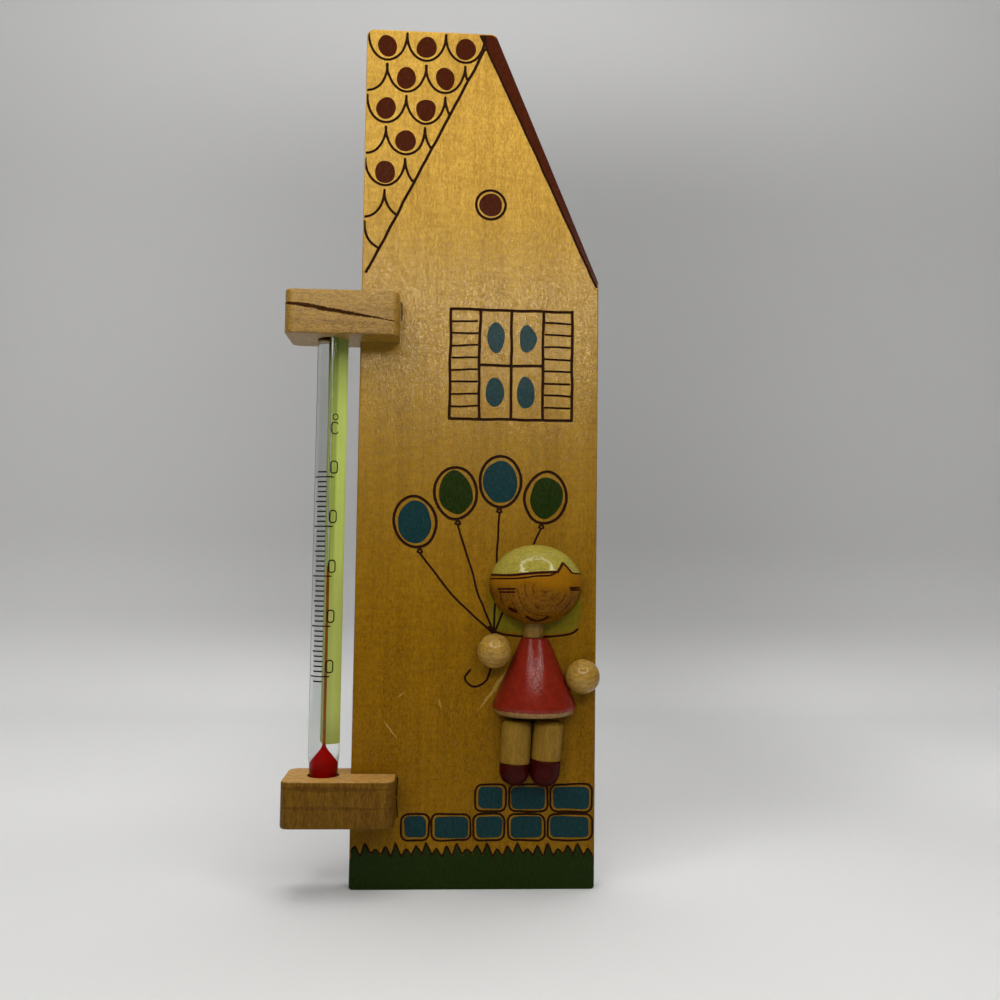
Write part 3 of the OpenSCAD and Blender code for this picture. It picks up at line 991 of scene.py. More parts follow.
# %% [markdown]
# ## The roof corner, the eave and the attic light
# The upper left corner is roof. Its lower edge is one long straight line, and rows of round
# shingles hang from the top, each row half a shingle further on, cut off where they meet that
# line. The eave is the painted sloping edge at the right. The paint's outline runs past the
# board's edge, so that the paint reaches it.

# %% The roof corner, the eave and the attic light
GABLE_TOP, GABLE_FOOT = (35.2, 247.0), (1.3, 178.3)
EAVE_TOP, EAVE_FOOT = (34.0, 251.1), (69.5, 175.5)
SHINGLE_W, SHINGLE_ROW, SHINGLE_DROP = 11.6, 9.6, 8.2
DOT_W, DOT_H = 2.9, 3.3
LIGHT_X, LIGHT_Z = 37.7, 199.6


def roof_side(x):
    """Height of the gable line at x."""
    share = (x - GABLE_FOOT[0]) / (GABLE_TOP[0] - GABLE_FOOT[0])
    return GABLE_FOOT[1] + share * (GABLE_TOP[1] - GABLE_FOOT[1])


def clipped(points):
    """The part of a line that lies on the roof side of the gable."""
    line = resample(points, 0.4)
    keep = line[:, 1] > np.array([roof_side(x) for x in line[:, 0]]) + 0.2
    keep &= (line[:, 0] > 0.3) & (line[:, 1] < BOARD_H - 0.2)
    return line[keep]


burn([GABLE_TOP, GABLE_FOOT])
burn([EAVE_TOP, EAVE_FOOT], FINE_R)
colour_in([(EAVE_TOP[0] - 1.3, BOARD_H + 2), (EAVE_FOOT[0], EAVE_FOOT[1] + 0.2),
           (BOARD_W + 2, SHOULDER_H - 1.2), (BOARD_W + 2, BOARD_H + 2)], RED, 0.12)
for row in range(8):
    top = BOARD_H - 1.0 - row * SHINGLE_ROW
    for column in range(-1, 4):
        middle = 6.2 + (column + 0.5 * (row % 2)) * SHINGLE_W
        scallop = clipped(oval(middle, top, SHINGLE_W / 2, SHINGLE_DROP, 180, 360))
        if len(scallop) > 4:
            burn(scallop, 0.30)
        if top - 3.9 > roof_side(middle) + 7.6 and middle > 3.4:
            colour_in(oval(middle, top - 4.0, DOT_W, DOT_H), RED, 0.6)
burn(oval(LIGHT_X, LIGHT_Z, 4.4, 4.4), 0.32, 0.15)
colour_in(oval(LIGHT_X, LIGHT_Z, 3.5, 3.5), RED, 0.3)
print("lines after the roof:", len(burnt_lines))

# %% [markdown]
# ## The shuttered window
# Four panes between two slatted shutters. The frame is drawn with single strokes, so that the
# corners cross a little, as they do when each stroke is burnt by itself. Each pane holds one
# dab of blue.

# %% The shuttered window
x0, z0, x1, z1 = 26.4, 135.4, 62.4, 167.9
PANE_X0, PANE_X1 = 35.0, 53.8
MIDDLE_X, MIDDLE_Z = 44.4, 151.4
SLATS = 8
for a, b in (((x0, z0), (x1, z0)), ((x1, z0), (x1, z1)), ((x1, z1), (x0, z1)), ((x0, z1), (x0, z0)),
             ((PANE_X0, z0), (PANE_X0, z1)), ((PANE_X1, z0), (PANE_X1, z1)),
             ((MIDDLE_X, z0), (MIDDLE_X, z1)), ((PANE_X0, MIDDLE_Z), (PANE_X1, MIDDLE_Z))):
    burn([a, b])
for slat in range(1, SLATS + 1):
    level = z0 + slat * (z1 - z0) / (SLATS + 1)
    burn([(x0 + 0.6, level), (PANE_X0 - 0.7, level + 0.2)], FINE_R)
    burn([(PANE_X1 + 0.7, level + 0.2), (x1 - 0.6, level)], FINE_R)
for left, right in ((PANE_X0, MIDDLE_X), (MIDDLE_X, PANE_X1)):
    for low, high in ((z0, MIDDLE_Z), (MIDDLE_Z, z1)):
        colour_in(oval((left + right) / 2, (low + high) / 2, 2.7, 4.6), BLUE, 0.9)
print("lines after the window:", len(burnt_lines))

# %% [markdown]
# ## The balloons and their strings
# The doll's raised hand holds four balloons. Each is an oval that leans away from the middle,
# with a smaller painted oval inside, a small triangle for its knot, and a string that sags to
# the hand. The strings' loose end curls out below the hand.

# %% The balloons and their strings
HAND_HOLD = (40.3, 72.6)
BALLOONS = ((16.9, 104.9, BLUE, 12), (28.6, 113.4, GREEN, 6),
            (41.7, 117.1, BLUE, -2), (55.0, 112.5, GREEN, -9))
BALLOON_W, BALLOON_H = 6.1, 7.6
PAINT_W, PAINT_H = 4.9, 6.3
for x, z, paint, tilt in BALLOONS:
    lean = math.radians(tilt)
    burn(oval(x, z, BALLOON_W, BALLOON_H, 0, 360, tilt), LINE_R, 0.4)
    colour_in(oval(x, z, PAINT_W, PAINT_H, 0, 360, tilt), paint, 0.8)
    knot = np.array([x + BALLOON_H * math.sin(lean), z - BALLOON_H * math.cos(lean)])
    burn([knot, knot + (-0.9, -1.5), knot + (0.9, -1.5), knot], FINE_R, 0.0)
    bow = (knot + np.array(HAND_HOLD)) / 2 + (0.0, -2.5 if x < 35 else 0.0)
    burn(curve_line([knot + (0.0, -1.6), bow, HAND_HOLD]), FINE_R, 0.3)
burn(curve_line([(39.8, 63.3), (38.2, 59.1), (34.6, 57.5), (32.0, 59.8), (33.6, 62.3)]), FINE_R, 0.1)
print("lines after the balloons:", len(burnt_lines))

# %% [markdown]
# ## The low wall, the grass and the doll's loose hair
# The doll stands on two courses of stones, the upper one shorter. Stones are round-cornered
# boxes with a painted middle. Below them a zigzag of grass blades runs across the board, and
# the green fills everything under it. The hair that hangs behind the doll's head is flat
# paint on the board. Three short fine lines run close beside the blocks.

# %% The low wall, the grass and the doll's loose hair
WALL_TOP, WALL_MIDDLE, WALL_FOOT, WALL_END = 30.05, 21.6, 13.5, 69.8
BLADE_W = 2.9


def stones(x, low, high, widths):
    """A course of stones with a painted middle each."""
    for width in widths:
        far = min(x + width, WALL_END)
        if far - x > 3.0:
            box = round_box(x + 0.35, low + 0.35, far - 0.35, high - 0.35, 1.9)
            burn(np.vstack([box, box[:1]]), 0.24, 0.3)
            colour_in(round_box(x + 1.2, low + 1.1, far - 1.2, high - 1.1, 1.3), BLUE, 0.4)
        x = far


stones(35.4, WALL_MIDDLE, WALL_TOP, (9.5, 12.0, 13.1))
stones(14.3, WALL_FOOT, WALL_MIDDLE, (8.5, 12.0, 9.8, 11.5, 13.9))
blades = [(0.3, 10.5)]
for number in range(24):
    left = 0.3 + number * BLADE_W
    blades.append((left + 1.2, 12.5 + 0.9 * math.sin(2.1 * number)))
    blades.append((left + BLADE_W, 9.5 + 0.5 * math.sin(1.3 * number)))
burn(blades, 0.20, 0.1)
below = [(72.4, 9.0), (72.4, -2.0), (-2.0, -2.0), (-2.0, 10.0)]
colour_in([(x, z - 0.15) for x, z in blades] + below, GREEN, 0.35)
colour_in([(39.0, 89.0), (38.9, 77.0), (39.7, 74.8), (42.4, 73.5), (48.4, 72.9), (56.4, 72.8), (62.4, 73.5),
           (64.4, 75.0), (65.9, 80.0), (65.8, 89.0)], HAIR, 0.25)
hair_tips = [(38.9, 74.6), (42.1, 72.8), (48.8, 72.1), (56.1, 72.05), (62.5, 72.8), (64.8, 74.2)]
burn(curve_line(hair_tips), FINE_R, 0.15)
burn([(11.9, 169.4), (12.0, 164.2)], 0.13, 0.05)
burn([(13.2, 31.5), (13.1, 26.5)], 0.13, 0.1)
burn([(13.1, 25.6), (13.4, 20.5)], 0.13, 0.1)
print("burnt lines:", len(burnt_lines), "patches of paint:", len(patches))

# %% [markdown]
# ## The board
# The front face is cut with the grooves of the picture. Round it, a stack of outlines forms
# the eased edges and the sides, and a cap closes the back, with the blind hole that hangs the
# board on its nail. The paint of the eave runs over the sloping edge and the green over the
# foot, as a brush would carry it. The back is bare wood.

# %% Build the board
CORNER_RS, EASE = (1.0, 1.0, 2.5, 2.2, 2.2), 0.4
GROOVE = 0.28
HOLE_R, HOLE_DEPTH, HOLE_X, HOLE_Z = 3.0, 5.0, 24.5, 234.0
GRASS_EDGE = 9.3


def edge_paint(x, _, z):
    """The paint that a brush carries over the board's edge at a place."""
    on_slope = (x - TOP_W) / (BOARD_W - TOP_W) + (z - SHOULDER_H) / (BOARD_H - SHOULDER_H) > 0.985
    return RED if on_slope else GREEN if z < GRASS_EDGE else WOOD


def build_board():
    corners = [(0, 0), (BOARD_W, 0), (BOARD_W, SHOULDER_H), (TOP_W, BOARD_H), (0, BOARD_H)]
    outline = rounded(corners, CORNER_RS, 0.6)
    levels = edge_levels(EASE, BOARD_T)
    front = inset(outline, levels[0][0])
    loops = [loop for loop, _ in patches]
    points, triangles, sunk, scorch, painted = grooved_face(front, burnt_lines, loops, 0.5, 2.2)
    verts = [(x, GROOVE * d, z) for (x, z), d in zip(points, sunk)]
    faces = [tuple(t) for t in triangles]
    which = [WOOD if n < 0 else patches[n][1] for n in painted]
    rings = [list(range(len(front)))]
    for inwards, deep in levels[1:]:
        rings.append(next_ring(verts, [(x, deep, z) for x, z in inset(outline, inwards)]))
    sides = join_loops(rings)
    which += [edge_paint(*verts[low]) for low, *_ in sides]
    hole = oval(HOLE_X, HOLE_Z, HOLE_R, HOLE_R)[:-1]
    back, mouth = cap(verts, rings[-1], lambda v: (v[0], v[2]), lambda x, z: (x, BOARD_T, z),
                      1.0, 6.0, hole)
    drilled = [mouth]
    for share, deep in ((1.0, HOLE_DEPTH), (0.5, HOLE_DEPTH + 0.02)):
        ring = [(HOLE_X + (x - HOLE_X) * share, BOARD_T - deep, HOLE_Z + (z - HOLE_Z) * share)
                for x, z in hole]
        drilled.append(next_ring(verts, ring))
    faces += sides + back + join_loops(drilled) + [tuple(drilled[-1])]
    which += [BARE] * (len(faces) - len(which))
    scorch = np.concatenate([scorch, np.zeros(len(verts) - len(scorch))])
    piece("picture_board", verts, faces, board_finishes, "board", "board_wood", ("back_board",), 40.0,
          scorch, which)


build_board()

# %% [markdown]
# ## Wood of the two blocks
# The blocks are natural wood with a thin satin finish. The upper one has its grain across, one long dark
# streak and a faint one. The lower one is darker, with two dim bands across its face, and its upward faces
# are paler: painted light from above, with cut end grain that took less varnish. A stain is laid over a
# finished wood: the helper takes what feeds the shader's colour and mixes the stain into it.

# %% Finishes of the blocks
upper_wood = bare_wood("upper_block_wood", (0.365, 0.210, 0.030), (0.170, 0.086, 0.008), "X", 0.26,
                       relief=0.24, specular=0.42, ring_mm=3.4, seed=1.0, draw=0.40, fleck=0.35,
                       fibre_mm=0.5)
lower_wood = bare_wood("lower_block_wood", (0.175, 0.086, 0.006), (0.080, 0.034, 0.001), "Z", 0.42,
                       relief=0.10, specular=0.10, ring_mm=2.4, seed=2.0, draw=0.20, fleck=0.30,
                       fibre_mm=0.42)


def shader_inputs(finish):
    return next(n for n in finish.node_tree.nodes if n.type == "BSDF_PRINCIPLED").inputs


def stain(finish, share, colour, strength):
    """Lays a stain over the wood's own colour, where the share says. A deep one is dull too."""
    inputs = shader_inputs(finish)
    tone = inputs["Base Color"].links[0].from_socket
    put(finish, inputs["Base Color"], mix(finish, times(finish, share, strength), tone, colour))
    if strength > 0.9:
        shine = inputs["Specular IOR Level"].links[0].from_socket
        dulled = times(finish, shine, ramp(finish, share, 0.0, 1.0, 1.0, 0.06))
        put(finish, inputs["Specular IOR Level"], dulled)


def top_light_and_end_grain(finish, colour):
    """Makes the upward faces paler: painted light from above, and cut end grain that took less varnish."""
    inputs = shader_inputs(finish)
    tone = inputs["Base Color"].links[0].from_socket
    normal = add(finish, "ShaderNodeTexCoord").outputs["Normal"]
    facing = add(finish, "ShaderNodeSeparateXYZ", {0: normal}).outputs["Z"]
    worn = ramp(finish, speckle(finish, coords(finish, (1.0, 1.0, 0.3)), 1.5, 3.0), 0.3, 0.6, 0.6, 1.0)
    share = times(finish, ramp(finish, facing, 0.5, 0.9), worn)
    put(finish, inputs["Base Color"], mix(finish, share, tone, colour))


dark_streak = near_line(upper_wood, (-21.8, 166.0), (13.0, 160.8), 0.66, 0.75, -0.1)
stain(upper_wood, dark_streak, (0.022, 0.005, 0.001), 0.97)
faint_streak = near_line(upper_wood, (-12.2, 161.4), (-4.6, 160.2), 0.30, 0.5)
stain(upper_wood, faint_streak, (0.10, 0.045, 0.010), 0.5)
for left_z, right_z, half_width, strength in ((31.0, 30.6, 0.75, 0.40), (25.9, 25.3, 0.60, 0.35)):
    dim_band = near_line(lower_wood, (-19.0, left_z), (16.0, right_z), half_width, 0.5)
    stain(lower_wood, dim_band, (0.035, 0.013, 0.001), strength)
# painted light: the lower block's upward faces are paler, and its cut end grain took less varnish
top_light_and_end_grain(lower_wood, (0.43, 0.235, 0.060))
print("block finishes:", upper_wood.name, lower_wood.name)

# %% [markdown]
# ## The two blocks
# Each block is a short piece of wood with a rebate at the back, so that it wraps the left edge
# of the board. The lower one has a round socket in its top for the bulb, the upper one a
# deeper socket underneath. They are slabs lying on their sides, so the same stack of outlines
# makes them.

# %% Build the blocks
TUBE_X, TUBE_Y = -7.6, -1.9
SOCKET_R = 4.55
BLOCK_CORNER, BLOCK_EASE, BLOCK_PROUD = 2.8, 0.5, 11.5


def block_plan(lap, width):
    """The block from above: a round-cornered box less the rebate that takes the board."""
    left = lap - width
    corners = [(left, -BLOCK_PROUD), (lap, -BLOCK_PROUD), (lap, BOARD_T), (left, BOARD_T)]
    outer = rounded(corners, [BLOCK_CORNER] * 4, 0.7)
    plan = outer[(outer[:, 0] < 0.0) | (outer[:, 1] < 0.0)]
    widest_gap = int(np.argmax(np.hypot(*np.diff(np.vstack([plan, plan[:1]]), axis=0).T)))
    plan = np.roll(plan, -(widest_gap + 1), axis=0)
    rebate = [(0.0, BOARD_T), (0.0, 0.0), (lap, 0.0)]
    plan = np.vstack([plan, rebate if plan[0][0] > 0 else rebate[::-1]])
    after = np.roll(plan, -1, axis=0)
    clockwise = (after[:, 1] * plan[:, 0] - plan[:, 1] * after[:, 0]).sum() < 0
    return plan[::-1] if clockwise else plan


def build_block(name, lap, width, low, high, opens_up, socket_depth, finish, node):
    plan = block_plan(lap, width)
    verts, rings = [], []
    for inwards, up in edge_levels(BLOCK_EASE, high - low):
        rings.append(next_ring(verts, [(x, y, low + up) for x, y in inset(plan, inwards)]))
    faces = join_loops(rings)
    hole = oval(TUBE_X, TUBE_Y, SOCKET_R, SOCKET_R)[:-1]
    for ring, level, open_end in ((rings[0], low, not opens_up), (rings[-1], high, opens_up)):
        closing, mouth = cap(verts, ring, lambda v: v[:2], lambda x, y: (x, y, level), 1.0, 2.5,
                             hole if open_end else ())
        faces += closing
        if open_end:
            floor_z = level - socket_depth if opens_up else level + socket_depth
            foot = next_ring(verts, [(x, y, floor_z) for x, y in hole])
            faces += join_loops([mouth, foot]) + [tuple(foot)]
    piece(name, verts, faces, [finish], "board", name, (node,))


build_block("upper_block_wood", 11.6, 32.2, 157.2, 169.8, False, 10.0, upper_wood, "upper_block")
build_block("lower_block_wood", 12.9, 31.3, 19.9, 32.7, True, 5.3, lower_wood, "lower_block")

# %% [markdown]
# ## The glass
# A spirit thermometer is a solid glass rod with a hair-fine bore, blown out into a bulb at its
# foot. The rod works as a lens: it makes the thread look wider and shows the enamel strip at
# its back only from some sides. So the glass is modelled as it is, with its bore, and left to
# refract. Shadow rays pass it freely, which lets the lamps reach what is inside. Its gloss is
# held back at the bulb and at the top, where the ring lamp's reflection would hide the red
# and draw a white squiggle, and its end in the upper block is dull, as bedded in putty.

# %% Finish of the glass
GLOSS_STARTS, GLOSS_ENDS = (41, 47), (144, 149)
BEDDED = (157.5, 157.9)


def clear_glass():
    finish, shader = new_finish("clear_glass")
    shader.inputs["Base Color"].default_value = (0.84, 0.87, 0.84, 1.0)
    shader.inputs["Specular IOR Level"].default_value = 0.25
    shader.inputs["Transmission Weight"].default_value = 1.0
    shader.inputs["IOR"].default_value = 1.47
    shader.inputs["Roughness"].default_value = 0.0
    ripple = speckle(finish, coords(finish, (1.0, 1.0, 0.1)), 2.5, 1.0)
    put(finish, shader.inputs["Normal"], bumps(finish, ripple, 0.004))
    gloss = times(finish, between(finish, "Z", *GLOSS_STARTS), between(finish, "Z", *GLOSS_ENDS, 1.0, 0.0))
    put(finish, shader.inputs["Specular Tint"], mix(finish, gloss, grey(0.12), WHITE))
    shadow = add(finish, "ShaderNodeLightPath").outputs["Is Shadow Ray"]
    through = add(finish, "ShaderNodeBsdfTransparent").outputs[0]
    glass = add(finish, "ShaderNodeMixShader", {0: shadow, 1: shader.outputs[0], 2: through}).outputs[0]
    grit = speckle(finish, coords(finish), 0.8, 2.0)
    putty_tone = mix(finish, grit, (0.10, 0.055, 0.016), (0.05, 0.026, 0.008))
    putty = add(finish, "ShaderNodeBsdfDiffuse", {"Color": putty_tone}).outputs[0]
    bedded = between(finish, "Z", *BEDDED)
    both = add(finish, "ShaderNodeMixShader", {0: bedded, 1: glass, 2: putty})
    output = next(n for n in finish.node_tree.nodes if n.type == "OUTPUT_MATERIAL")
    put(finish, output.inputs["Surface"], both.outputs[0])
    return finish


glass_finish = clear_glass()
print("glass gloss between", GLOSS_STARTS[1], "and", GLOSS_ENDS[0], "mm")

# %% [markdown]
# ## The stem, its bore and its bulb
# The outer line goes from the bulb's foot through its ogee neck up the stem to a rounded end.
# The inner line follows it with a thinner wall round the spirit, then turns into the bore and
# widens once more into the small gas chamber at the top. Both are swung round the same axis,
# and the inner faces are turned over, so that each skin faces out of the glass.

# %% Build the stem, its bore and its bulb
STEM_R, BULB_R, BORE_R, SPACE_R = 4.45, 4.10, 0.27, 2.75
GLASS_FOOT, GLASS_TOP = 27.45, 161.2
NECK_TOP, NECK_FOOT, STEM_FOOT = 41.85, 35.45, 39.25
SPACE_FOOT = GLASS_FOOT + 1.4
END_R = 2.6
CHAMBER_FOOT, CHAMBER_TOP, CHAMBER_R = 158.4, 159.8, 0.8


def bowl(radius, foot, rim):
    """The lower half of an oval, from its lowest point out to its rim."""
    angles = [math.radians(a) for a in np.linspace(-90, 0, 20)]
    return [(radius * math.cos(a), rim + (rim - foot) * math.sin(a)) for a in angles]


def ogee(r0, z0, r1, z1):
    """A line that swings smoothly from one radius to another."""
    return [(r0 + (r1 - r0) * t * t * (3 - 2 * t), z0 + (z1 - z0) * t) for t in np.linspace(0, 1, 16)]


def build_glass():
    outer = bowl(BULB_R, GLASS_FOOT, NECK_FOOT)[:-1] + ogee(BULB_R, NECK_FOOT, STEM_R, STEM_FOOT)
    outer += [(STEM_R, z) for z in np.linspace(45, 150, 8)]
    outer += quarter(STEM_R - END_R, GLASS_TOP - END_R, END_R, 0, 90) + [(0.0, GLASS_TOP)]
    inner = bowl(SPACE_R, SPACE_FOOT, NECK_FOOT)[:-1] + ogee(SPACE_R, NECK_FOOT, BORE_R, NECK_TOP)
    inner += [(BORE_R, z) for z in np.linspace(60, 150, 4)]
    inner += [(BORE_R, CHAMBER_FOOT), (CHAMBER_R, CHAMBER_FOOT)]
    inner += [(CHAMBER_R, CHAMBER_TOP), (0.0, CHAMBER_TOP)]
    verts, faces = turned(outer, 128, (TUBE_X, TUBE_Y, 0.0))
    inner_verts, inner_faces = turned(inner, 64, (TUBE_X, TUBE_Y, 0.0))
    faces += [tuple(i + len(verts) for i in reversed(f)) for f in inner_faces]
    piece("glass_stem", verts + inner_verts, faces, [glass_finish], "tube", "tube_glass",
          ("glass_tube",), smooth=None)


build_glass()

# %% [markdown]
# ## The enamel strip
# The yellow-green enamel lies in the back of the rod, a little to the right. Seen through the rod, only a
# narrow part of it shows, spread out to half the stem's width. A small change of colour across that part
# therefore shows as a broad bright or dark band, so the strip's shading is painted into its colour as
# darker bands towards its left side. It is also darker towards the foot.

# %% Make the enamel strip
STRIP_START, STRIP_END = 37.0, 102.0
STRIP_INNER, STRIP_OUTER = STEM_R - 0.5, STEM_R - 0.04
STRIP_FOOT, STRIP_TOP = STEM_FOOT + 1.8, GLASS_TOP - END_R - 0.02
# painted shade: the X bands darken the strip towards its left side; the Z bands make it darker towards the
# foot
ENAMEL_BANDS = (("X", -7.25, -7.55, 0.0, 0.9, (0.25, 0.30, 0.035)),
                ("Z", 75, 115, 0.8, 0.0, (0.38, 0.414, 0.080)),
                ("Z", 42, 52, 0.6, 0.0, (0.20, 0.21, 0.020)),
                ("X", -8.15, -8.40, 0.0, 0.8, (0.16, 0.19, 0.06)))


def enamel_finish():
    finish, shader = new_finish("yellow_green_enamel")
    cloudy = speckle(finish, coords(finish, (1, 1, 0.2)), 3.0, 3.0)
    tone = mix(finish, ramp(finish, cloudy, 0.3, 0.7), (0.50, 0.575, 0.120), (0.45, 0.52, 0.100))
    for axis, low, high, out_low, out_high, darker_tone in ENAMEL_BANDS:
        tone = mix(finish, between(finish, axis, low, high, out_low, out_high), tone, darker_tone)
    put(finish, shader.inputs["Base Color"], tone)
    put(finish, shader.inputs["Roughness"], ramp(finish, cloudy, 0.3, 0.7, 0.35, 0.5))
    return finish


def build_strip():
    verts, rings = [], []
    for z in (STRIP_FOOT, STRIP_FOOT + 1.0, 100.0, STRIP_TOP - 1.0, STRIP_TOP):
        trim = 3.0 if z in (STRIP_FOOT, STRIP_TOP) else 0.0
        angles = np.radians(np.linspace(STRIP_START + trim, STRIP_END - trim, 15))
        ring = [(STRIP_INNER, a) for a in angles] + [(STRIP_OUTER, a) for a in angles[::-1]]
        ring = [(TUBE_X + r * math.cos(a), TUBE_Y + r * math.sin(a), z) for r, a in ring]
        rings.append(next_ring(verts, ring))
    faces = join_loops(rings) + [tuple(reversed(rings[0])), tuple(rings[-1])]
    piece("enamel_backing", verts, faces, [enamel_finish()], "tube", "strip_enamel", ("enamel_strip",))


build_strip()

# %% [markdown]
# ## The spirit and its thread
# The red spirit is modelled a hair wider than its space, because a wetted wall shows no air gap. It is dull
# here: the shine that one sees on a bulb belongs to the glass. The thread runs from the bulb's neck up the
# bore to the height of the reading.

# %% Fill the bulb and the bore
WET = 0.015
ZERO_Z, DEGREE, READING = 60.8, 1.407, 22.1
THREAD_R, THREAD_TOP = BORE_R + WET, ZERO_Z + READING * DEGREE


def spirit_finish(name, tone_a, tone_b):
    finish, shader = new_finish(name)
    cloudy = ramp(finish, speckle(finish, coords(finish), 2.0, 2.0), 0.3, 0.7)
    put(finish, shader.inputs["Base Color"], mix(finish, cloudy, tone_a, tone_b))
    shader.inputs["Roughness"].default_value = 0.8
    shader.inputs["Specular IOR Level"].default_value = 0.0
    return finish


bulb_line = bowl(SPACE_R + WET, SPACE_FOOT - WET, NECK_FOOT)[:-1]
bulb_line += ogee(SPACE_R + WET, NECK_FOOT, THREAD_R, NECK_TOP) + [(0.0, NECK_TOP)]
verts, faces = turned(bulb_line, 64, (TUBE_X, TUBE_Y, 0.0))
red_spirit = spirit_finish("red_spirit", (0.235, 0.0010, 0.0004), (0.180, 0.0006, 0.0003))
piece("bulb_spirit", verts, faces, [red_spirit], "tube", "red_liquid", ("bulb_liquid",))

thread_line = [(0.0, NECK_TOP - 0.3), (THREAD_R, NECK_TOP - 0.3)]
thread_line += [(THREAD_R, z) for z in np.linspace(NECK_TOP, THREAD_TOP - 0.3, 40)]
thread_line += quarter(0.0, THREAD_TOP - THREAD_R, THREAD_R, 0, 90, 5)[1:-1] + [(0.0, THREAD_TOP)]
verts, faces = turned(thread_line, 32, (TUBE_X, TUBE_Y, 0.0))
thread_spirit = spirit_finish("thread_spirit", (0.22, 0.050, 0.004), (0.16, 0.034, 0.003))
thread = piece("spirit_thread", verts, faces, [thread_spirit], None, "thread_liquid", ("liquid_column",))
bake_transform(thread)

# %% [markdown]
# ## The printed scale
# The scale is printed on the front of the rod in dark ink: a line for each degree, a longer
# one at every fifth and tenth, the ring and letter of the Celsius sign, and a round figure
# above each ten. Ink is so thin that a ribbon a hundredth of a millimetre off the glass will
# do. Angles are counted from the front, positive to the right. The ink is dull and a little
# worn.

# %% Print the scale
INK_R = STEM_R + 0.015
FIGURE_X = math.radians(19.5) * STEM_R
TEN_MARK, FIVE_MARK, ONE_MARK = (-62, 20, 0.38), (-51, -6.3, 0.42), (-43.7, -6.3, 0.42)
LETTER = ((0.95, 130.0), (0.4, 129.45), (-0.4, 129.5), (-0.9, 130.1), (-1.0, 131.2), (-0.9, 132.2),
          (-0.4, 132.65), (0.4, 132.7), (0.95, 132.2))


def level_mark(z, left_angle, right_angle, width):
    """A line across the stem, from one angle to another."""
    a, b = (math.radians(v) * STEM_R for v in (left_angle, right_angle))
    return [(x, z) for x in np.linspace(a, b, 12)], width


def scale_marks():
    """Every line of the print: (mm to the right on the surface, height), and its width."""
    marks = []
    for degree in range(-1, 42):
        kind = TEN_MARK if degree % 10 == 0 else FIVE_MARK if degree % 5 == 0 else ONE_MARK
        marks.append(level_mark(ZERO_Z + degree * DEGREE, *kind))
    for ten in range(0, 41, 10):
        z = ZERO_Z + ten * DEGREE + 1.1
        figure = round_box(FIGURE_X - 0.95, z, FIGURE_X + 0.95, z + 3.4, 0.8)
        marks.append((np.vstack([figure, figure[:1]]), 0.38))
    marks.append((oval(FIGURE_X + 0.1, 134.25, 0.72, 0.82), 0.30))
    marks.append((curve_line([(FIGURE_X + x, z) for x, z in LETTER]), 0.34))
    return marks


def ribbons(marks):
    """A flat ribbon on the glass for each line."""
    verts, faces = [], []
    for line, width in marks:
        line = np.array(line, float)
        way = np.gradient(line, axis=0)
        way /= np.hypot(way[:, 0], way[:, 1])[:, None]
        side = np.column_stack([-way[:, 1], way[:, 0]]) * width / 2
        first = len(verts)
        for pair in zip(line + side, line - side):
            for across, z in pair:
                angle = across / STEM_R
                verts.append((TUBE_X + INK_R * math.sin(angle), TUBE_Y - INK_R * math.cos(angle), z))
        faces += [(k, k + 2, k + 3, k + 1) for k in range(first, first + 2 * (len(line) - 1), 2)]
    return verts, faces


def ink_finish():
    finish, shader = new_finish("scale_ink")
    worn = ramp(finish, speckle(finish, coords(finish), 0.5, 3.0), 0.4, 0.7)
    tone = mix(finish, worn, (0.004, 0.003, 0.002), (0.014, 0.010, 0.006))
    put(finish, shader.inputs["Base Color"], tone)
    shader.inputs["Roughness"].default_value = 0.7
    shader.inputs["Specular IOR Level"].default_value = 0.05
    return finish


piece("scale_print", *ribbons(scale_marks()), [ink_finish()], "tube", "tube_glass")

# %% [markdown]
# ## Finishes of the doll
# The doll is six kinds of turned work glued to the board: a head like a flattened ball, a
# half-round neck, a cone for the dress, two ball hands, and two dowel legs on half-ball shoes.
# Hands, neck and legs are bare or varnished wood. The head is turned so that its end grain is
# in front, which puts rings round the face. The dress and the shoes have glossy paint, whose
# skin of tiny dents breaks the highlight up.

# %% Finishes of the doll
FACE_MIDDLE = (54.2, 86.6)
varnished_ball = bare_wood("varnished_ball", (0.385, 0.232, 0.044), (0.200, 0.105, 0.013), "X", 0.36,
                           coat=0.40, specular=0.10, ring_mm=1.6, seed=3.0, draw=0.3, fleck=0.2,
                           fibre_mm=0.6)
neck_wood = bare_wood("neck_wood", (0.250, 0.140, 0.022), (0.140, 0.070, 0.008), "Z", ring_mm=2.0, seed=4.0,
                      draw=0.2, fibre_mm=0.6)
leg_wood = bare_wood("leg_wood", (0.250, 0.142, 0.017), (0.160, 0.082, 0.006), "Z", relief=0.03,
                     specular=0.14, ring_mm=3.0, seed=5.0, draw=0.2, fibre_mm=0.5)


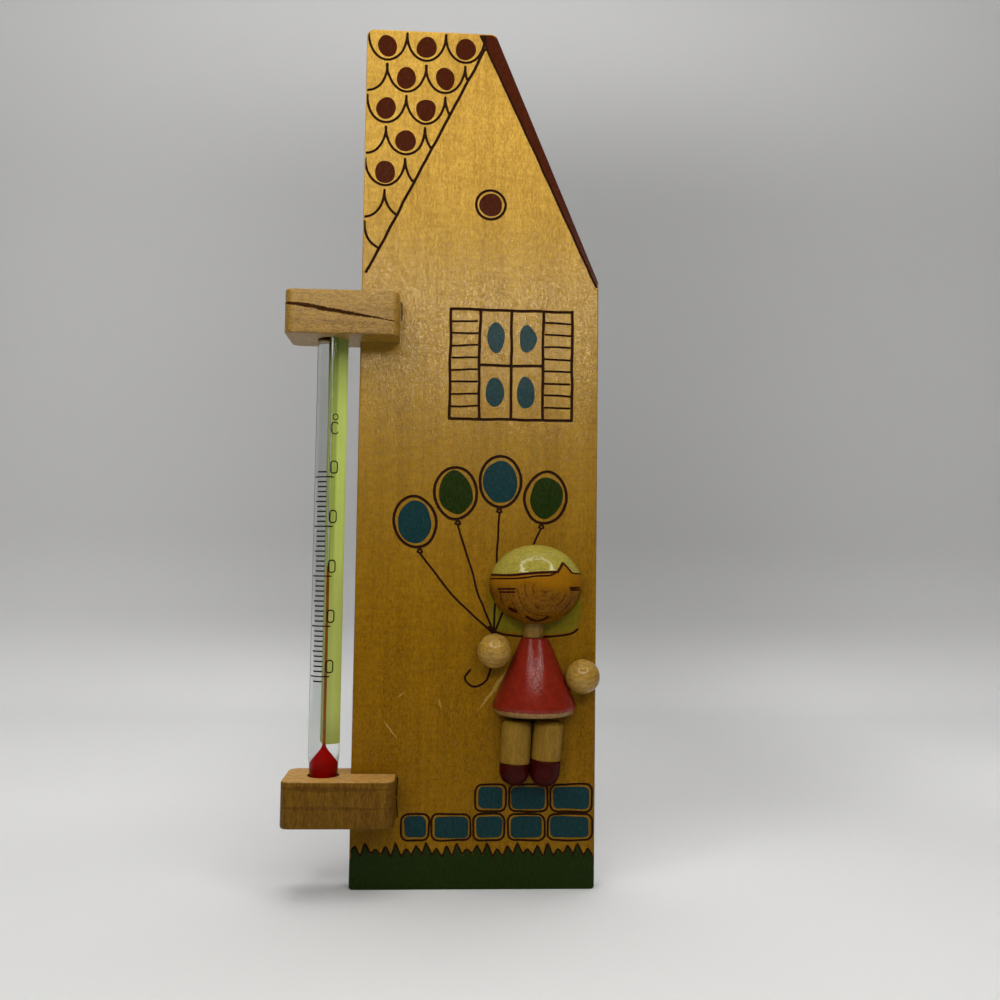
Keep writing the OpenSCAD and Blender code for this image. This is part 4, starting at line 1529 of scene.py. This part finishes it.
def head_finish(name, paint=None):
    """Turned wood seen on its end grain, so its rings run round the face, and its paint."""
    finish, shader = new_finish(name)
    pith = (-(FACE_MIDDLE[0] - HANGING_HOLE[0]) * MM, 0.0, -(FACE_MIDDLE[1] - HANGING_HOLE[2]) * MM)
    tone, fibres = wood_tones(finish, (0.195, 0.080, 0.005), (0.098, 0.034, 0.001), "Y", ring_mm=1.9,
                              twist=0.8, pith=pith, draw=0.2, fleck=0.15)
    middle = add(finish, "ShaderNodeMapping", {"Vector": coords(finish), "Location": pith}).outputs[0]
    late_wood = ramp(finish, year_rings(finish, middle, "Y", 2.3, 2.4, 1.0, 0.6), 0.86, 0.99)
    broken = ramp(finish, speckle(finish, coords(finish), 5.0, 2.0), 0.40, 0.62)
    tone = mix(finish, times(finish, times(finish, late_wood, broken), 0.65), tone, (0.022, 0.005, 0.001))
    cloudy = speckle(finish, coords(finish), 6.0, 2.0)
    height = calc(finish, "MULTIPLY_ADD", cloudy, 0.006, where(finish, "Z"))
    warm = ramp(finish, height, place(0, 0, 87.5).z, place(0, 0, 91.5).z, 0.0, 0.75)
    tone = mix(finish, warm, tone, (0.250, 0.106, 0.004))
    if paint:
        brushed = ramp(finish, speckle(finish, coords(finish, (0.6, 1.0, 1.0)), 0.7, 3.0), 0.35, 0.7)
        tone = mix(finish, 0.95, tone, mix(finish, brushed, paint, darker(paint, 0.72)))
    scorch = groove_scorch(finish)
    tone = mix(finish, ramp(finish, scorch, 0.35, 0.95), tone, (0.030, 0.007, 0.003))
    put(finish, shader.inputs["Base Color"], tone)
    put(finish, shader.inputs["Roughness"], ramp(finish, fibres, 0.3, 0.7, 0.24, 0.34))
    stroke = speckle(finish, coords(finish, (0.35, 1.0, 1.0)), 0.6 if paint else 1.5, 2.0)
    skin = bumps(finish, stroke, 0.06 if paint else 0.02)
    put(finish, shader.inputs["Normal"], skin)
    put(finish, shader.inputs["Coat Normal"], skin)
    shader.inputs["Specular IOR Level"].default_value = 0.0
    gloss = ramp(finish, scorch, 0.35, 0.95, 0.75 if paint else 0.10, 0.02)
    put(finish, shader.inputs["Coat Weight"], gloss)
    shader.inputs["Coat Roughness"].default_value = 0.06
    return finish


def gloss_paint(name, paint, bare=None, bare_below=None, orange_peel=0.055, gloss=0.42):
    """Glossy paint, which may stop short above a bare wooden edge."""
    finish, shader = new_finish(name)
    brushed = speckle(finish, coords(finish), 1.6, 3.0)
    tone = mix(finish, ramp(finish, brushed, 0.3, 0.7), paint, darker(paint, 0.72))
    if bare:
        wood, _ = wood_tones(finish, bare, darker(bare, 0.6), "Z", ring_mm=1.5)
        ragged = calc(finish, "MULTIPLY_ADD", speckle(finish, coords(finish), 1.1, 3.0), 0.0009, -0.00045)
        level = calc(finish, "ADD", where(finish, "Z"), ragged)
        edge = place(0, 0, bare_below).z
        tone = mix(finish, ramp(finish, level, edge - 0.00012, edge + 0.00012), wood, tone)
    put(finish, shader.inputs["Base Color"], tone)
    skin = bumps(finish, speckle(finish, coords(finish), 0.36, 1.5, 0.6), orange_peel)
    put(finish, shader.inputs["Normal"], skin)
    put(finish, shader.inputs["Coat Normal"], skin)
    put(finish, shader.inputs["Roughness"], ramp(finish, brushed, 0.3, 0.7, 0.30, 0.40))
    shader.inputs["Specular IOR Level"].default_value = 0.03
    sparks = speckle(finish, coords(finish), 0.30, 1.0)
    put(finish, shader.inputs["Coat Weight"], ramp(finish, sparks, 0.44, 0.60, 0.25 * gloss, 2.0 * gloss))
    shader.inputs["Coat Roughness"].default_value = 0.07
    return finish


print("doll finishes:", varnished_ball.name, neck_wood.name, leg_wood.name)

# %% [markdown]
# ## The face and the hair line
# Hair and face are burnt and painted on the head in the same way as the picture, so the
# grooved face is used again. It is drawn flat, in degrees right and up of the middle of the
# face: a fringe with one notch, two short strokes for each closed eye, a dab for the cheek and
# a small smiling mouth.

# %% Draw the face and the hair line
FACE_LINE, THIN_LINE, CHEEK_LINE, MOUTH_LINE, EYE_LINE = 1.7, 1.1, 3.6, 2.6, 1.2
fringe = curve_line([(-97, 21), (-87, 19.9), (-51.5, 15.4), (-30.5, 14.8), (-3, 17.7), (23.5, 19.6)], 6)
notch = np.array([(23.5, 19.6), (33.4, 35.9), (47.0, 19.8)])
fringe_end = curve_line([(47.0, 19.8), (60.0, 20.4), (74.0, 21.4), (97.0, 22.0)], 6)
under_fringe = curve_line([(-94, 10.6), (-80, 10.5), (-31, 9.5), (-3, 13.1), (13, 14.4), (25.0, 21.0)], 6)
face_lines = [(fringe, FACE_LINE), (notch, FACE_LINE), (fringe_end, THIN_LINE), (under_fringe, THIN_LINE)]
for stroke in (((-56.1, -7.3), (-30.6, -5.6)), ((-54.2, -12.5), (-31.1, -10.4)),
               ((41.4, -3.4), (65.9, -4.4)), ((42.9, -6.8), (63.7, -8.1))):
    face_lines.append((np.array(stroke), EYE_LINE))
face_lines.append((np.array([(-38.5, -40.5), (-32.0, -43.0)]), CHEEK_LINE))
mouth_line = [(-14.8, -52.9), (-7.0, -60.0), (0.2, -64.0), (7.0, -60.0), (13.6, -53.1)]
face_lines.append((curve_line(mouth_line, 4), MOUTH_LINE))
crown = oval(0.0, 0.0, 99.0, 99.0, 13, 167)
hair_patch = np.vstack([fringe[1:], notch[1:2], fringe_end, crown])
print("lines on the face:", len(face_lines))

# %% [markdown]
# ## The head
# The flat drawing is bent over the flattened ball. Its rim comes to lie on the board's face,
# where a flat closes it, because the real head is sawn flat and glued on.

# %% Build the head
HEAD_AT, HEAD_RX, HEAD_RZ = (52.3, -1.0, 87.2), 13.5, 11.55
BACK_ANGLE = math.degrees(math.acos(-1.0 / HEAD_RZ))
FACE_GROOVE = 0.22


def on_head(u, v, depth):
    """A place on the head, from degrees right and up of the middle of its face."""
    reach = math.radians(math.hypot(u, v))
    way = math.atan2(v, u)
    flat = math.sin(reach)
    return (HEAD_AT[0] + (HEAD_RX - depth) * flat * math.cos(way),
            HEAD_AT[1] - (HEAD_RZ - depth) * math.cos(reach),
            HEAD_AT[2] + (HEAD_RZ - depth) * flat * math.sin(way))


def build_head():
    rim = resample(oval(0.0, 0.0, BACK_ANGLE, BACK_ANGLE)[:-1], 2.0, closed=True)
    hair = resample(hair_patch, 1.6, closed=True)
    points, triangles, sunk, scorch, painted = grooved_face(rim, face_lines, [hair], 1.5, 3.0)
    verts = [on_head(x, z, FACE_GROOVE * d) for (x, z), d in zip(points, sunk)]
    for row in range(len(rim)):
        verts[row] = (verts[row][0], 0.0, verts[row][2])
    faces = [tuple(t) for t in triangles] + [tuple(range(len(rim)))]
    which = [1 if n == 0 else 0 for n in painted] + [0]
    finishes = [head_finish("face_wood"), head_finish("hair_paint", (0.300, 0.255, 0.040))]
    piece("doll_head_turned", verts, faces, finishes, "board", "head_wood", ("doll_head",), 50.0,
          scorch, which)


build_head()

# %% [markdown]
# ## The neck, the dress and the hands
# A short peg, a cone with a rounded hem and two balls. Each is a turner's line swung round its
# own axis and cut flat at the back. The dress is painted down to just above its hem, where a
# rim of bare wood shows.

# %% Build the neck, the dress and the hands
DOLL_X, DRESS_Z, DRESS_TOP, NECK_END = 52.3, 50.0, 71.8, 77.65
NECK_R, HEM_R, HEM_W, HEM_H, SHOULDER_R = 3.0, 10.6, 1.5, 2.7, 3.9
HAND_R, HAND_Y = 4.9, -4.3


def glued(name, verts, faces, finish, slot, node):
    """A turned piece, cut flat at the back and glued to the board."""
    piece(name, *flat_backed(verts, faces), [finish], "board", slot, (node,))


neck_line = soft_corner([(0.0, DRESS_TOP), (NECK_R, DRESS_TOP), (NECK_R, NECK_END), (0.0, NECK_END)])
glued("doll_neck_turned", *turned(neck_line, 64, (DOLL_X - 0.5, 0.0, 0.0)), neck_wood, "neck_wood",
      "neck_dowel")
hem = [(HEM_R + HEM_W * math.cos(a), DRESS_Z + HEM_H + HEM_H * math.sin(a))
       for a in np.radians(np.linspace(-90, 0, 12))]
skirt = soft_corner([hem[-1], (SHOULDER_R, DRESS_TOP), (0.0, DRESS_TOP)], 0.4)
dress_line = [(0.0, DRESS_Z)] + hem + skirt[1:]
red_dress = gloss_paint("red_dress", (0.200, 0.0145, 0.0055), (0.30, 0.17, 0.05), DRESS_Z + 1.5)
glued("doll_dress_turned", *turned(dress_line, 128, (DOLL_X, 0.0, 0.0)), red_dress, "dress_paint", "dress")
ball = [(HAND_R * math.sin(a), -HAND_R * math.cos(a)) for a in np.radians(np.linspace(0, 180, 41))]
ball[0], ball[-1] = (0.0, -HAND_R), (0.0, HAND_R)
for side, x, z in (("left", DOLL_X - 11.9, DRESS_Z + 18.2), ("right", DOLL_X + 13.5, DRESS_Z + 11.1)):
    glued(f"doll_{side}_hand_turned", *turned(ball, 72, (x, HAND_Y, z)), varnished_ball, "hand_wood",
          f"{side}_hand")

# %% [markdown]
# ## The legs and the shoes
# Each leg is a dowel with a chamfered top, and its shoe a dowel end with a ball toe, painted
# dark red. A leg and its shoe lean together about the joint between them. The right leg is a
# little shorter and its shoe a little taller, as on the real doll.

# %% Build the legs and the shoes
LEG_R, LEG_TOP, LEG_Y = 4.3, 48.5, -3.7
shoe_gloss = gloss_paint("dark_red_gloss", (0.036, 0.0016, 0.0004), orange_peel=0.004, gloss=0.10)


def leaned(verts, x, z, angle):
    """Leans a piece about its foot, and sets it at its place in front of the board."""
    lean = Matrix.Rotation(math.radians(angle), 3, "Y")
    return [tuple(lean @ Vector(v) + Vector((x, LEG_Y, z))) for v in verts]


for word, side, angle, leg_len, shoe_h in (("left", -1, 2.5, 11.9, 6.4), ("right", 1, 4.0, 11.0, 7.7)):
    x, z = DOLL_X - 1.3 + side * 4.4, LEG_TOP - leg_len
    leg_line = soft_corner([(0.0, 0.0), (LEG_R - 0.3, 0.0), (LEG_R, 0.3), (LEG_R, leg_len - 1.0),
                            (LEG_R - 1.0, leg_len), (0.0, leg_len)], 0.3)
    verts, faces = turned(leg_line, 72)
    glued(f"doll_{word}_leg_turned", leaned(verts, x, z, angle), faces, leg_wood, "leg_wood", f"{word}_leg")
    shoe_line = [(0.0, -shoe_h)] + quarter(0.0, LEG_R - shoe_h, LEG_R, -90, 0, 20)[1:]
    shoe_line += soft_corner([shoe_line[-1], (LEG_R, -0.3), (LEG_R - 0.3, 0.0), (0.0, 0.0)], 0.2)[1:]
    verts, faces = turned(shoe_line, 72)
    glued(f"doll_{word}_shoe_turned", leaned(verts, x, z, angle), faces, shoe_gloss, "shoe_paint",
          f"{word}_shoe")

# %% [markdown]
# ## Sizes and finish
# The box of the solids and the box of the dressed model are written side by side, so that a
# piece that has grown out of its CAD box is found at once.

# %% Write the sizes and finish
dressed_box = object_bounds()
for title, box in (("CAD box", cad_box), ("dressed", dressed_box)):
    print(title, [[round(x, 4) for x in v] for v in box])
